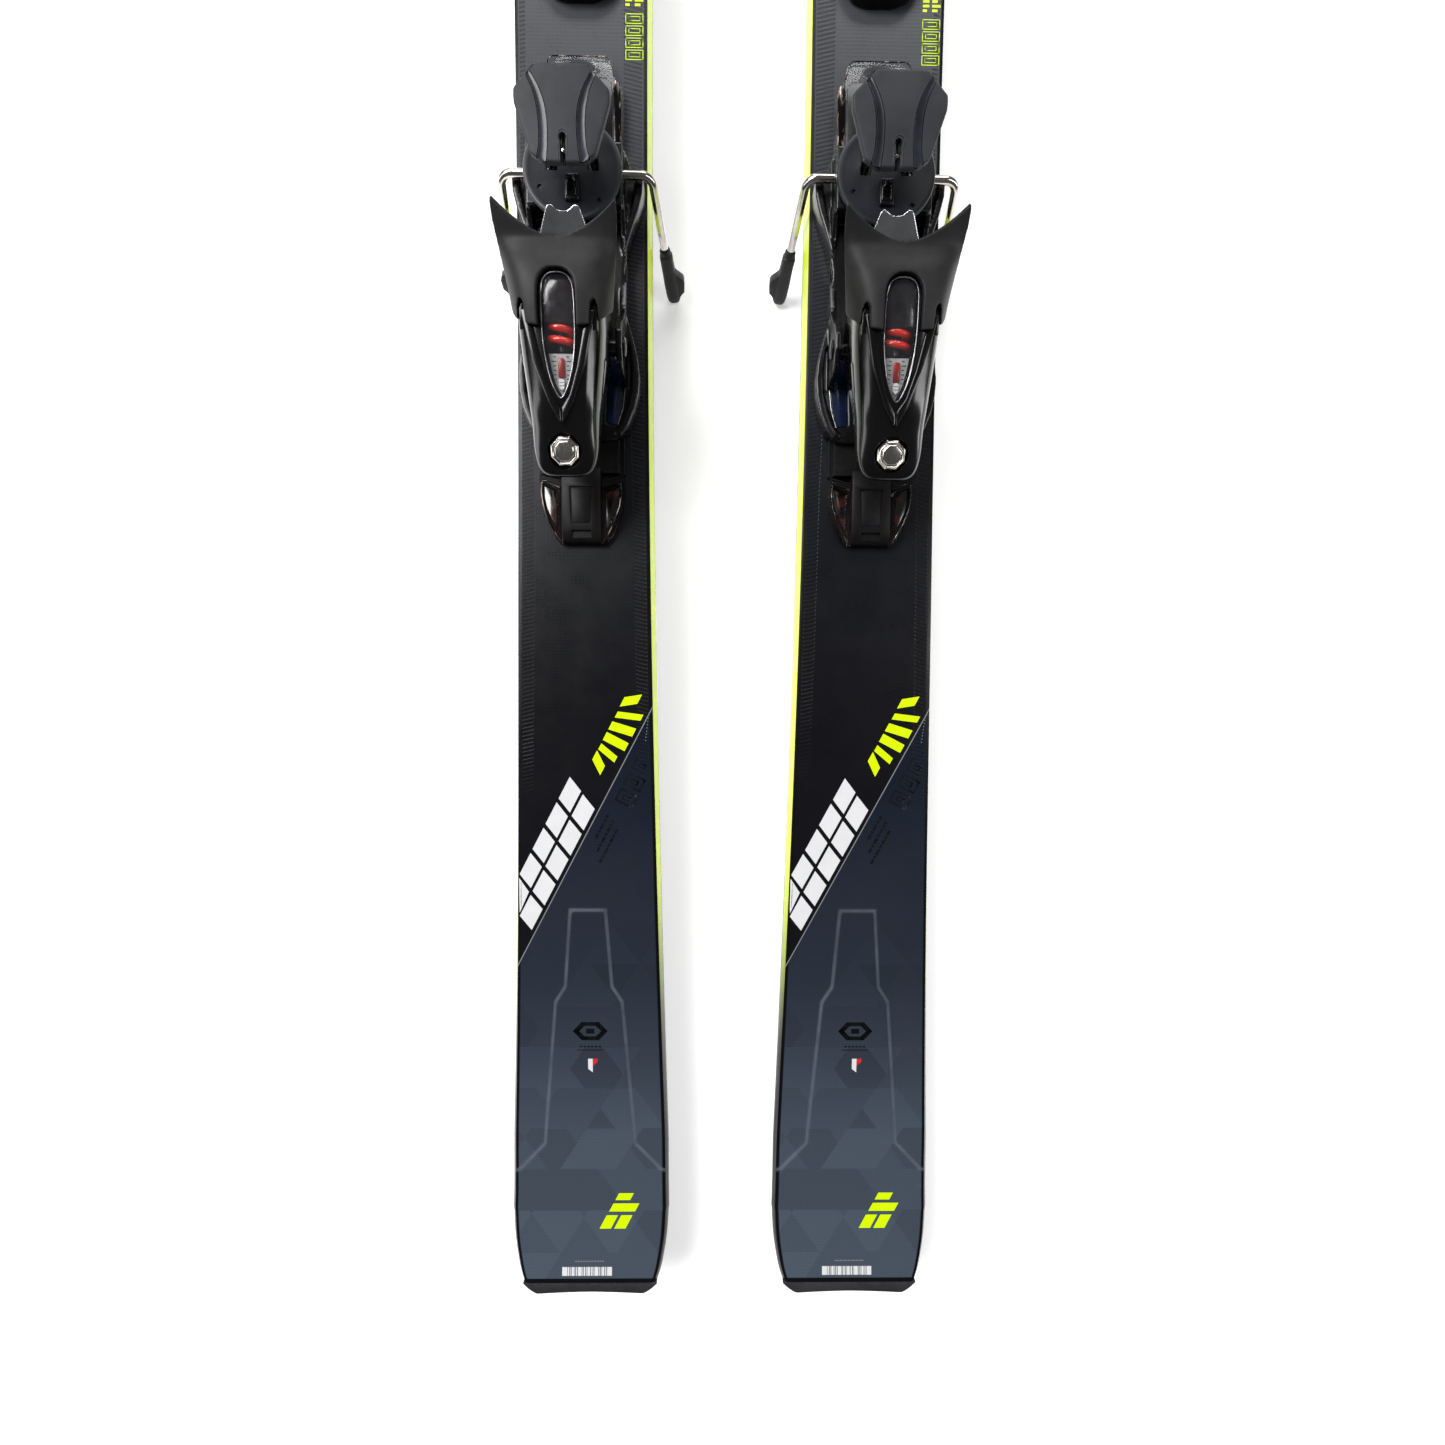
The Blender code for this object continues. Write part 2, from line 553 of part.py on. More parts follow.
def build_lever(ski):
    origin = ski.bind(0, *HEEL_PIVOT)
    count = 14
    rings = []
    for y, low, high, half in HOUSING:
        middle, tall = (low + high) / 2, (high - low) / 2
        ring = []
        for k in range(count):
            t = (k + 0.5) * math.tau / count
            c, s = math.cos(t), math.sin(t)
            x = half * math.copysign(abs(c) ** 0.5, c)
            h = middle + tall * math.copysign(abs(s) ** 0.5, s)
            ring.append(opened(ski, x, y, h))
        rings.append(ring)
    housing = mesh_object(f"{ski.prefix}_heel_housing", loft(rings), M["gloss"], origin=origin, angle=50)

    def skin(name, thickness, offset, collection):
        bm = cup_surface(ski, grow=0.0 if collection is parts else 0.6)
        for face in bm.faces:
            face.normal_update()
        return shell(open_mesh(name, bm, collection), thickness, offset)

    def open_mesh(name, bm, collection):
        mesh = bpy.data.meshes.new(name)
        bmesh.ops.recalc_face_normals(bm, faces=bm.faces)
        up = sum((f.normal.z for f in bm.faces)) > 0
        if not up:
            bmesh.ops.reverse_faces(bm, faces=bm.faces)
        bmesh.ops.translate(bm, verts=bm.verts, vec=-origin)
        bm.to_mesh(mesh)
        bm.free()
        obj = bpy.data.objects.new(name, mesh)
        obj.location = origin
        if collection is cutters:
            obj.hide_render = True
            obj.display_type = "WIRE"
        else:
            mesh.materials.append(M["matte"])
            mesh.shade_smooth()
        return link(obj, collection)

    cup = skin(f"{ski.prefix}_heel_cup", 4.2, -1.0, parts)
    # The housing stays a little under the cup.
    over = skin(f"{ski.prefix}_cut_under_cup", 34.0, 1 - 2 * 4.7 / 34.0, cutters)
    boolean(housing, over)

    def window_prism(grow, low, high):
        half = [(x + (grow if x else 0.0), y + (grow if y > 675 else (-grow if y < 640 else 0))) for x, y in WINDOW_HALF]
        plan = half + [(-x, y) for x, y in half[-2:0:-1]]
        a, along, normal = slope_frame()
        start = [on_slope(ski, x, y, low) for x, y in plan]
        travel = on_slope(ski, 0, 650, high) - on_slope(ski, 0, 650, low)
        return prism(start, travel)

    pocket = mesh_object(f"{ski.prefix}_cut_pocket", window_prism(0.0, -19.0, 30.0), None, cutters)
    boolean(housing, pocket)
    boolean(cup, mesh_object(f"{ski.prefix}_cut_cup_window", window_prism(1.6, -25.0, 40.0), None, cutters))
    bore = rod(ski.bind(-40, *HEEL_PIVOT), ski.bind(40, *HEEL_PIVOT), 4.3, 16)
    boolean(housing, mesh_object(f"{ski.prefix}_cut_lever_bore", bore, None, cutters))
    # Release screw: an eight-sided head in a round recess, with a shank in a blind hole.
    lean = math.radians(90 + SCREW_TILT)
    axis = Vector((0, math.cos(lean), math.sin(lean)))
    face = ski.bind(0, *SCREW_AT)
    recess = rod(face - axis * 0.0046, face + axis * 0.02, 9.4, 18)
    boolean(housing, mesh_object(f"{ski.prefix}_cut_recess", recess, None, cutters))
    hole = rod(face - axis * 0.016, face, 3.9, 10)
    boolean(housing, mesh_object(f"{ski.prefix}_cut_shank", hole, None, cutters))
    head = mesh_object(f"{ski.prefix}_heel_screw", rod(face - axis * 0.0042, face + axis * 0.0006, 8.6, 8, 7.4), M["chrome"], origin=face, angle=20)
    shank = mesh_object(f"{ski.prefix}_add_shank", rod(face - axis * 0.0155, face - axis * 0.002, 3.5, 10), None, cutters)
    boolean(head, shank, "UNION")
    head["axis"] = tuple(axis)

    window = window_prism(-0.5, -2.2, -0.2)
    mesh_object(f"{ski.prefix}_heel_window", window, M["clear"], origin=origin, angle=30)
    # Red spring behind the window: a coil along the slope, ends inside the pocket.
    a, along, normal = slope_frame()
    points = []
    turns, per_turn, radius = 4, 7, 4.9
    for i in range(turns * per_turn + 1):
        t = i * math.tau / per_turn
        spot = a + along * (25.5 + 23.0 * i / (turns * per_turn)) - normal * (11.4 - radius * math.sin(t))
        points.append(opened(ski, radius * math.cos(t), spot.x, spot.y))
    tube_object(f"{ski.prefix}_heel_spring", points, 1.45, M["red"], origin, 1)
    # Release indicator: a small tongue that slides under the window.
    low = [on_slope(ski, x, y, -4.4) for x, y in ((-2.4, 632.5), (2.4, 632.5), (2.4, 647.0), (-2.4, 647.0))]
    travel = on_slope(ski, 0, 650, -2.9) - on_slope(ski, 0, 650, -4.4)
    mesh_object(f"{ski.prefix}_heel_indicator", prism(low, travel), M["white"], origin=on_slope(ski, 0, 640, -4.0))
    # Tread plate under the cup, its front edge in a shallow W.
    half = [(14.0, 0.0), (14.0, 29.0), (9.0, 42.1), (6.2, 43.3), (3.0, 41.7), (0.0, 40.9)]
    rear, front = Vector((665.8, 27.2)), Vector((705.4, 22.6))
    run = (front - rear).normalized()
    rise = Vector((-run.y, run.x))
    plan = half + [(-x, s) for x, s in half[-2::-1]]

    def on_tread(x, s, lift):
        p = rear + run * s + rise * lift
        return opened(ski, x, p.x, p.y)

    bm = prism([on_tread(x, s, -2.4) for x, s in plan], on_tread(0, 0, 0) - on_tread(0, 0, -2.4))
    mesh_object(f"{ski.prefix}_heel_tread", bm, M["chrome"], origin=origin)


# ---------------------------------------------------------------- toe piece
def build_toe(ski):
    half = [(27.0, 880), (27.0, 1060), (24.0, 1074), (17.0, 1083), (9.0, 1086)]
    tail = [(9.0, 856), (17.0, 859), (24.0, 868)]
    plan = tail + half + [(-x, y) for x, y in (tail + half)[::-1]]
    base = mesh_object(
        f"{ski.prefix}_toe_base", prism([ski.bind(x, y, GAP) for x, y in plan], Vector((0, 0, 0.0087))), M["track"]
    )
    rounded(base, 1.4, 1)
    boolean(base, mesh_object(f"{ski.prefix}_add_riser", block(ski, (-24, 940, 5), (24, 1066, 13.0)), None, cutters), "UNION")

    pad = [(-26, 950), (-22, 944), (22, 944), (26, 950), (26, 984), (-26, 984)]
    afd = mesh_object(f"{ski.prefix}_sole_pad", prism([ski.bind(x, y, 13.3) for x, y in pad], Vector((0, 0, 0.0147))), M["ptfe"])
    rounded(afd, 1.2, 1)

    # Housing: side outline with a shelf and a roof that hold the wings between them.
    side = [
        (1000, 13.3), (1068, 13.3), (1074, 22), (1075, 40), (1070, 52), (1058, 60), (1040, 64), (1014, 64.5), (1001, 61.5), (1001, 57),
        (1024.5, 57), (1024.5, 29.6), (1000, 29.6),
    ]
    bm = prism([ski.bind(-27, y, h) for y, h in side], Vector((0.054, 0, 0)))
    middle = ski.point(0, 0, 0).x
    for v in bm.verts:
        y = v.co.y * 1000 + LENGTH / 2 + SET_BACK
        h = v.co.z * 1000 - LIFT - TOP
        narrow = 1 - 0.34 * smooth((y - 1030) / 50) - 0.10 * smooth((h - 40) / 26)
        v.co.x = middle + (v.co.x - middle) * narrow
    housing = rounded(mesh_object(f"{ski.prefix}_toe_housing", bm, M["gloss"]), 2.2, 1)
    for sign, label in ((1, "p"), (-1, "n")):
        post = rod(ski.bind(WING_PIVOT[0] * sign, WING_PIVOT[1], 20), ski.bind(WING_PIVOT[0] * sign, WING_PIVOT[1], 61), 3.2, 12)
        boolean(housing, mesh_object(f"{ski.prefix}_add_post_{label}", post, None, cutters), "UNION")
    face = ski.bind(0, 1074.6, 33)
    recess = rod(face - Vector((0, 0.006, 0)), face + Vector((0, 0.02, 0)), 8.4, 18)
    boolean(housing, mesh_object(f"{ski.prefix}_cut_toe_recess", recess, None, cutters))
    head = rod(face - Vector((0, 0.0055, 0)), face - Vector((0, 0.0006, 0)), 7.6, 8, 6.8)
    mesh_object(f"{ski.prefix}_toe_screw", head, M["chrome"], origin=face, angle=20)

    for sign, label in ((ski.side, "inner"), (-ski.side, "outer")):
        px, py = WING_PIVOT
        pivot = ski.bind(px * sign, py, 30)
        # Plan of one wing: a round hub, an arm out to the side and a jaw along the boot's toe.
        arc = [(px + 8.2 * math.cos(a), py + 8.2 * math.sin(a)) for a in [math.radians(d) for d in (170, 140, 110, 80, 50, 25)]]
        tail = [(33.0, 1012.0), (39.0, 1003.0), (41.6, 992.0), (41.8, 980.0), (39.5, 972.0), (36.2, 972.5), (35.0, 980.0), (32.6, 989.0),
                (28.0, 996.0), (21.0, 1000.5), (14.6, 1003.6)]
        plan = [(x * sign, y) for x, y in arc + tail]
        bm = prism([ski.bind(x, y, 30.0) for x, y in plan], Vector((0, 0, 0.0266)))
        wing = rounded(mesh_object(f"{ski.prefix}_toe_wing_{label}", bm, M["matte"], origin=pivot), 1.6, 1)
        bore = rod(ski.bind(px * sign, py, 20), ski.bind(px * sign, py, 70), 3.6, 12)
        boolean(wing, mesh_object(f"{ski.prefix}_cut_wing_{label}", bore, None, cutters))


for ski in (Ski("left", -SPACING / 2, 1), Ski("right", SPACING / 2, -1)):
    build_ski_body(ski)
    build_heel_track(ski)
    build_carriage(ski)
    build_brake(ski)
    build_lever(ski)
    build_toe(ski)
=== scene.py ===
"""Looks of the pair of alpine skis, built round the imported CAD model.

Shapes are drawn once, on a ski whose centre line is x = 0, and copied to both skis.
Lengths in the drawings are millimetres: x from the ski's centre line, y from its tail,
z above the running surface, h above the binding platform.
"""

import math

import bmesh
import bpy
from mathutils import Matrix, Vector


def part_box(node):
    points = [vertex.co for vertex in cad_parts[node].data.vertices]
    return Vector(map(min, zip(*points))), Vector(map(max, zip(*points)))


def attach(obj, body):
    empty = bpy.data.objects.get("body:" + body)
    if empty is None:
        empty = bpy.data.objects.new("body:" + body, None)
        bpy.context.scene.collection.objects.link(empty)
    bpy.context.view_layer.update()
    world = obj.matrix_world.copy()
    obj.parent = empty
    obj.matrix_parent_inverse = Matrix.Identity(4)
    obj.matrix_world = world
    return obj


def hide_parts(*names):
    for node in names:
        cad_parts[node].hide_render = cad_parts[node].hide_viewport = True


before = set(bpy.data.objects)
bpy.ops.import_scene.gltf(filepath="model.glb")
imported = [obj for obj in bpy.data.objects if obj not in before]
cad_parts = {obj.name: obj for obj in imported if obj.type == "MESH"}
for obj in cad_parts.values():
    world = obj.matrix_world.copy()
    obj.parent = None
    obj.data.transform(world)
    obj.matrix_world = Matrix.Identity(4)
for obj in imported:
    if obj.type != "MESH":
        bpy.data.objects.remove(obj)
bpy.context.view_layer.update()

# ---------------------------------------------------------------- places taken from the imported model
SIDES = {"left": 1, "right": -1}  # the sign of x that points to the other ski
CENTRE = {p: (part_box(p + "_core")[0][0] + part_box(p + "_core")[1][0]) / 2 for p in SIDES}
PLATFORM_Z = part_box("left_heel_track")[0][2] - 0.0003
TAIL_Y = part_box("left_tail_protector")[0][1]

LENGTH, TOP, SET_BACK = 1850.0, 18.0, 6.0
TAIL_WIDTH, WAIST_WIDTH, TIP_WIDTH = 110.5, 86.4, 130.0
TAIL_WIDE_AT, WAIST_AT, TIP_WIDE_AT = 100.0, 800.0, 1700.0
CAMBER, PLATFORM = 3.5, (520.0, 1110.0)
THICK_MIDDLE, THICK_TAIL, THICK_TIP = 14.5, 6.0, 5.5
TIP_RISE, TIP_RISE_FROM, TAIL_RISE, TAIL_RISE_FROM = 58.0, 1570.0, 7.0, 110.0
SKIN, GAP = 0.9, 0.3
HEEL_PIVOT, HEEL_OPEN = (640.0, 30.0), 35.0
BRAKE_AXIS, BRAKE_WIRE = (743.5, 21.0), 2.6
PEDAL_CENTRE, PEDAL_TILT, PEDAL_PIVOT = (749.0, 60.0), 8.0, (752.8, 54.57)
DISC_CENTRE, DISC_R, DISC_H = 739.5, 29.0, (28.5, 33.0)
SCREW_AT, SCREW_TILT = (570.0, 61.0), 18.0


def at(x, y, z):
    return Vector((x / 1000, TAIL_Y + y / 1000, PLATFORM_Z + (z - TOP) / 1000))


def bind(x, y, h):
    return at(x, y - SET_BACK, TOP + h)


def opened(x, y, h):
    """A point drawn on the closed heel lever, turned open about its pin."""
    turn = math.radians(HEEL_OPEN)
    dy, dz = y - HEEL_PIVOT[0], h - HEEL_PIVOT[1]
    return bind(
        x, HEEL_PIVOT[0] + dy * math.cos(turn) - dz * math.sin(turn), HEEL_PIVOT[1] + dy * math.sin(turn) + dz * math.cos(turn)
    )


def clamp(v, a=0.0, b=1.0):
    return min(b, max(a, v))


def smooth(t):
    t = clamp(t)
    return t * t * (3 - 2 * t)


def mixed(table, x):
    """Smooth curve through a table of (place, value)."""
    if x <= table[0][0]:
        return table[0][1]
    if x >= table[-1][0]:
        return table[-1][1]
    for i in range(len(table) - 1):
        (a, va), (b, vb) = table[i], table[i + 1]
        if x > b:
            continue

        def slope(k):
            if k in (0, len(table) - 1):
                return 0.0 if k else (table[1][1] - table[0][1]) / (table[1][0] - table[0][0])
            s0 = (table[k][1] - table[k - 1][1]) / (table[k][0] - table[k - 1][0])
            s1 = (table[k + 1][1] - table[k][1]) / (table[k + 1][0] - table[k][0])
            return 0.0 if s0 * s1 <= 0 else 2 * s0 * s1 / (s0 + s1)

        t, w = (x - a) / (b - a), b - a
        ma, mb = slope(i) * w, slope(i + 1) * w
        if i + 1 == len(table) - 1:
            mb = vb - va
        return (2 * t**3 - 3 * t**2 + 1) * va + (t**3 - 2 * t**2 + t) * ma + (3 * t**2 - 2 * t**3) * vb + (t**3 - t**2) * mb


def base_z(y):
    z = CAMBER * smooth((y - 60) / (PLATFORM[0] - 60)) * smooth((1590 - y) / (1590 - PLATFORM[1]))
    if y > TIP_RISE_FROM:
        z += TIP_RISE * ((y - TIP_RISE_FROM) / (LENGTH - TIP_RISE_FROM)) ** 2.1
    if y < TAIL_RISE_FROM:
        z += TAIL_RISE * ((TAIL_RISE_FROM - y) / TAIL_RISE_FROM) ** 2
    return z


def thick(y):
    if y < PLATFORM[0]:
        return THICK_TAIL + (THICK_MIDDLE - THICK_TAIL) * smooth((y - 20) / (PLATFORM[0] - 20))
    if y > PLATFORM[1]:
        return THICK_TIP + (THICK_MIDDLE - THICK_TIP) * smooth((1640 - y) / (1640 - PLATFORM[1]))
    return THICK_MIDDLE


TAIL_CORNER = [(0, 40), (2, 42.5), (4, 44.6), (7, 46.6), (11, 48.3), (18, 50.4), (26, 52.0), (34, 53.3), (44, 54.4), (60, 55.2)]


def half_width(y):
    if y < 60:
        return mixed(TAIL_CORNER, y)
    if y <= WAIST_AT:
        return (WAIST_WIDTH + (TAIL_WIDTH - WAIST_WIDTH) * ((WAIST_AT - y) / (WAIST_AT - TAIL_WIDE_AT)) ** 2) / 2 - (
            1.2 * (1 - smooth((y - 60) / 60))
        )
    side = (WAIST_WIDTH + (TIP_WIDTH - WAIST_WIDTH) * ((min(y, TIP_WIDE_AT) - WAIST_AT) / (TIP_WIDE_AT - WAIST_AT)) ** 2) / 2
    s = max(0.0, (y - TIP_WIDE_AT + 20) / (LENGTH - TIP_WIDE_AT + 20))
    return side * max(0.0, 1 - s**2.5) ** 0.56


# The sidewall is black at the tail and turns yellow between these two places.
SIDEWALL_FADE = (TAIL_Y * 1000 + 175.0, TAIL_Y * 1000 + 330.0)
# The raised panel on the tail: half width against y. Below it the panel runs out to both edges.
PANEL = [(86, 60.0), (90, 49.5), (109, 31.6), (118, 31.0), (213, 22.9), (224, 16.0), (278, 12.0)]


def straight(table, x):
    if x <= table[0][0]:
        return table[0][1]
    for (a, va), (b, vb) in zip(table, table[1:]):
        if x <= b:
            return va + (vb - va) * (x - a) / (b - a)
    return table[-1][1]


def flank(x, y):
    """Distance in from the raised panel's outline; far away where there's no outline."""
    if y > 292:
        return -30.0
    if y < 84:
        return 30.0
    edge = straight(PANEL, y)
    slope = 1.0
    for (a, va), (b, vb) in zip(PANEL, PANEL[1:]):
        if a <= y <= b:
            slope = math.hypot(1.0, (vb - va) / (b - a))
    inside = (edge - abs(x)) / slope
    end = 278.5 - y
    return min(inside, end) if abs(x) < edge + 1.5 else inside


def raised(x, y):
    """Height of the tail's raised panel over the plain topsheet."""
    if y > 284:
        return 0.0
    edge = straight(PANEL, y)
    slope = 1.0
    for (a, va), (b, vb) in zip(PANEL, PANEL[1:]):
        if a <= y <= b:
            slope = math.hypot(1.0, (vb - va) / (b - a))
    inside = (edge - abs(x)) / slope
    return 0.85 * smooth(inside / 3.4 + 0.5) * smooth((281 - y) / 5)


def top_z(x, y):
    """Height of the topsheet's surface above the running surface."""
    rim = half_width(y) - 2.4 - abs(x)
    drop = 0.45 * (1 - clamp(rim / 3.0)) ** 2
    return base_z(y) + thick(y) - drop + raised(x, y)


# ---------------------------------------------------------------- materials
def srgb(r, g, b, gain=1.0):
    def one(c):
        c = c / 255
        return (c / 12.92 if c <= 0.04045 else ((c + 0.055) / 1.055) ** 2.4) * gain

    return (one(r), one(g), one(b))


class Paint:
    """A Principled material and short ways to feed it from textures."""

    def __init__(self, name, colour, roughness, metallic=0.0, **sockets):
        self.material = bpy.data.materials.new(name)
        self.material.use_nodes = True
        self.tree = self.material.node_tree
        self.shader = self.tree.nodes["Principled BSDF"]
        self.shader.inputs["Base Color"].default_value = (*colour, 1.0)
        self.shader.inputs["Roughness"].default_value = roughness
        self.shader.inputs["Metallic"].default_value = metallic
        for socket, value in sockets.items():
            self.shader.inputs[socket.replace("_", " ")].default_value = value
        self.material.diffuse_color = (*colour, 1.0)
        self.place = self.node("ShaderNodeTexCoord").outputs["Object"]
        self.height = None

    def node(self, kind, **values):
        made = self.tree.nodes.new(kind)
        for key, value in values.items():
            setattr(made, key, value)
        return made

    def feed(self, socket, source):
        if isinstance(source, (int, float)):
            socket.default_value = source
        elif isinstance(source, tuple):
            socket.default_value = (*source, 1.0) if len(socket.default_value) == 4 and len(source) == 3 else source
        else:
            self.tree.links.new(source, socket)

    def math(self, what, *terms, clamped=False):
        made = self.node("ShaderNodeMath", operation=what, use_clamp=clamped)
        for socket, term in zip(made.inputs, terms):
            self.feed(socket, term)
        return made.outputs[0]

    def add(self, a, b):
        return self.math("ADD", a, b)

    def times(self, a, b):
        return self.math("MULTIPLY", a, b)

    def step(self, value, a, b, low=0.0, high=1.0):
        """low at a to high at b, smoothly."""
        made = self.node("ShaderNodeMapRange", interpolation_type="SMOOTHSTEP")
        for socket, term in zip(made.inputs, (value, a, b, low, high)):
            self.feed(socket, term)
        return made.outputs[0]

    def linear(self, value, a, b, low=0.0, high=1.0):
        made = self.node("ShaderNodeMapRange")
        for socket, term in zip(made.inputs, (value, a, b, low, high)):
            self.feed(socket, term)
        return made.outputs[0]

    def band(self, value, a, b, soft):
        """1 between a and b."""
        return self.times(self.step(value, a - soft, a + soft), self.step(value, b - soft, b + soft, 1.0, 0.0))

    def mix(self, factor, a, b, how="MIX"):
        made = self.node("ShaderNodeMix", data_type="RGBA", blend_type=how)
        self.feed(made.inputs[0], factor)
        self.feed(made.inputs[6], a)
        self.feed(made.inputs[7], b)
        return made.outputs[2]

    def ramp(self, value, stops):
        """Colour through (place, colour) stops, places in the value's own units."""
        first, last = stops[0][0], stops[-1][0]
        made = self.node("ShaderNodeValToRGB")
        self.feed(made.inputs[0], self.linear(value, first, last))
        elements = made.color_ramp.elements
        while len(elements) > 1:
            elements.remove(elements[-1])
        elements[0].position, elements[0].color = 0.0, (*stops[0][1], 1.0)
        for place, colour in stops[1:]:
            e = elements.new((place - first) / (last - first))
            e.color = (*colour, 1.0)
        return made.outputs[0]

    def mapped(self, scale=(1, 1, 1), source=None):
        made = self.node("ShaderNodeMapping")
        self.feed(made.inputs[0], source or self.place)
        made.inputs["Scale"].default_value = scale
        return made.outputs[0]

    def noise(self, scale, detail=2.0, rough=0.5, source=None, stretch=None):
        made = self.node("ShaderNodeTexNoise")
        source = source or self.place
        if stretch:
            source = self.mapped(stretch, source)
        self.feed(made.inputs["Vector"], source)
        made.inputs["Scale"].default_value = scale
        made.inputs["Detail"].default_value = detail
        made.inputs["Roughness"].default_value = rough
        return made.outputs[0]

    def cells(self, scale, source=None):
        made = self.node("ShaderNodeTexVoronoi")
        self.feed(made.inputs["Vector"], source or self.place)
        made.inputs["Scale"].default_value = scale
        return made.outputs[0]

    def relief(self, height, millimetres, strength=1.0):
        """Adds a height, 0 to 1, of this many millimetres to the surface."""
        made = self.node("ShaderNodeBump")
        made.inputs["Strength"].default_value = strength
        made.inputs["Distance"].default_value = millimetres / 1000
        self.feed(made.inputs["Height"], height)
        if self.height is not None:
            self.tree.links.new(self.height, made.inputs["Normal"])
        self.height = made.outputs[0]
        self.tree.links.new(self.height, self.shader.inputs["Normal"])
        return self

    def soften(self, millimetres):
        """Edges catch the light as if rounded by this radius."""
        made = self.node("ShaderNodeBevel")
        made.samples = 4
        made.inputs["Radius"].default_value = millimetres / 1000
        self.height = made.outputs[0]
        self.tree.links.new(self.height, self.shader.inputs["Normal"])
        return self

    def colour(self, source):
        self.feed(self.shader.inputs["Base Color"], source)
        return self

    def rough(self, source):
        self.feed(self.shader.inputs["Roughness"], source)
        return self

    def vary(self, dark, light, scale=60.0, low=0.3, high=0.7):
        """Base colour that wanders between two tones."""
        return self.colour(self.mix(self.linear(self.noise(scale, 4.0, 0.6), low, high), dark, light))


def moulded_plastic(name, dark, light, roughness, grain_scale, grain_mm, coat=0.0, wear=0.0, shine=0.5):
    """Injection-moulded plastic: two near tones, fine grain, faint handling marks, slightly paler edges."""
    p = Paint(name, light, roughness, Specular_IOR_Level=shine, Coat_Weight=coat, Coat_Roughness=0.08)
    tone = p.mix(p.linear(p.noise(45.0, 4.0, 0.6), 0.35, 0.65), dark, light)
    if wear:
        pointy = p.node("ShaderNodeNewGeometry").outputs["Pointiness"]
        edge = p.times(p.step(pointy, 0.52, 0.60), p.linear(p.noise(300.0, 3.0), 0.35, 0.7))
        tone = p.mix(p.times(edge, wear), tone, tuple(min(1.0, c * 3 + 0.02) for c in light))
    p.colour(tone)
    smear = p.linear(p.noise(30.0, 5.0, 0.65, stretch=(1, 0.35, 1)), 0.3, 0.7, roughness * 0.85, roughness * 1.2)
    p.rough(smear)
    p.soften(0.35)
    p.relief(p.noise(grain_scale, 2.0, 0.5), grain_mm)
    return p


def metal(name, dark, light, roughness, brushed=None):
    p = Paint(name, light, roughness, 1.0)
    p.colour(p.mix(p.linear(p.noise(70.0, 4.0), 0.3, 0.7), dark, light))
    fine = p.noise(900.0, 2.0, 0.5, stretch=brushed or (1, 1, 1))
    p.rough(p.linear(fine, 0.3, 0.7, roughness * 0.7, roughness * 1.35))
    p.soften(0.25)
    p.relief(fine, 0.004)
    return p


P = {}
P["matte"] = moulded_plastic("moulded_matte_black", srgb(27, 27, 28), srgb(38, 38, 38), 0.46, 2600.0, 0.012, wear=0.25, shine=0.16)
P["protector"] = moulded_plastic("protector_black", srgb(40, 40, 42), srgb(50, 50, 52), 0.40, 1200.0, 0.012, wear=0.2, shine=0.25)
P["pin"] = metal("blackened_pin", (0.035, 0.035, 0.038), (0.07, 0.07, 0.075), 0.34)
P["pedal"] = moulded_plastic("pedal_matte_black", srgb(38, 39, 42), srgb(47, 48, 52), 0.50, 3000.0, 0.012, wear=0.2, shine=0.22)
P["tip"] = moulded_plastic("brake_end_plastic", srgb(24, 24, 26), srgb(36, 36, 37), 0.45, 1400.0, 0.05, wear=0.35, shine=0.3)
P["gloss"] = moulded_plastic("moulded_gloss_black", srgb(5, 5, 6), srgb(10, 10, 11), 0.15, 500.0, 0.0015, coat=0.15, shine=0.4)
P["carriage"] = moulded_plastic("carriage_black", srgb(8, 8, 10), srgb(15, 15, 17), 0.26, 700.0, 0.004, coat=0.1, shine=0.36)
P["blue"] = moulded_plastic("carriage_inner_blue", srgb(14, 20, 40), srgb(26, 38, 70), 0.14, 300.0, 0.003, coat=0.5)
P["track"] = moulded_plastic("track_black", srgb(9, 9, 11), srgb(17, 17, 19), 0.42, 1600.0, 0.008, wear=0.1, shine=0.14)
P["disc"] = moulded_plastic("brake_plate_grey", srgb(25, 27, 32), srgb(34, 36, 41), 0.36, 1800.0, 0.008, wear=0.15, shine=0.26)
P["groove"] = moulded_plastic("pedal_gloss_strip", srgb(16, 17, 21), srgb(34, 36, 46), 0.30, 300.0, 0.002, coat=0.08, shine=0.3)
P["chrome"] = metal("polished_chrome", (0.60, 0.56, 0.52), (0.80, 0.76, 0.71), 0.10)
P["wire"] = metal("bright_wire", (0.52, 0.49, 0.45), (0.72, 0.69, 0.65), 0.16, (1, 0.15, 1))
P["tread"] = metal("polished_steel", (0.52, 0.53, 0.55), (0.72, 0.73, 0.76), 0.13, (1, 0.1, 1))
P["edge"] = metal("ground_edge_steel", (0.45, 0.45, 0.46), (0.62, 0.62, 0.63), 0.28, (1, 0.02, 1))
P["white"] = moulded_plastic("indicator_white", (0.62, 0.62, 0.60), (0.80, 0.80, 0.78), 0.30, 900.0, 0.004)
P["red"] = moulded_plastic("indicator_red", srgb(120, 8, 4), srgb(176, 16, 8), 0.30, 900.0, 0.004)
P["spring"] = moulded_plastic("spring_red_lacquer", srgb(170, 14, 4), srgb(226, 40, 16), 0.22, 800.0, 0.004, coat=0.6)
P["pad"] = moulded_plastic("sliding_pad", (0.58, 0.58, 0.55), (0.74, 0.74, 0.70), 0.38, 1200.0, 0.01)
P["dark"] = moulded_plastic("inner_dark", srgb(5, 5, 6), srgb(10, 10, 11), 0.4, 800.0, 0.01)


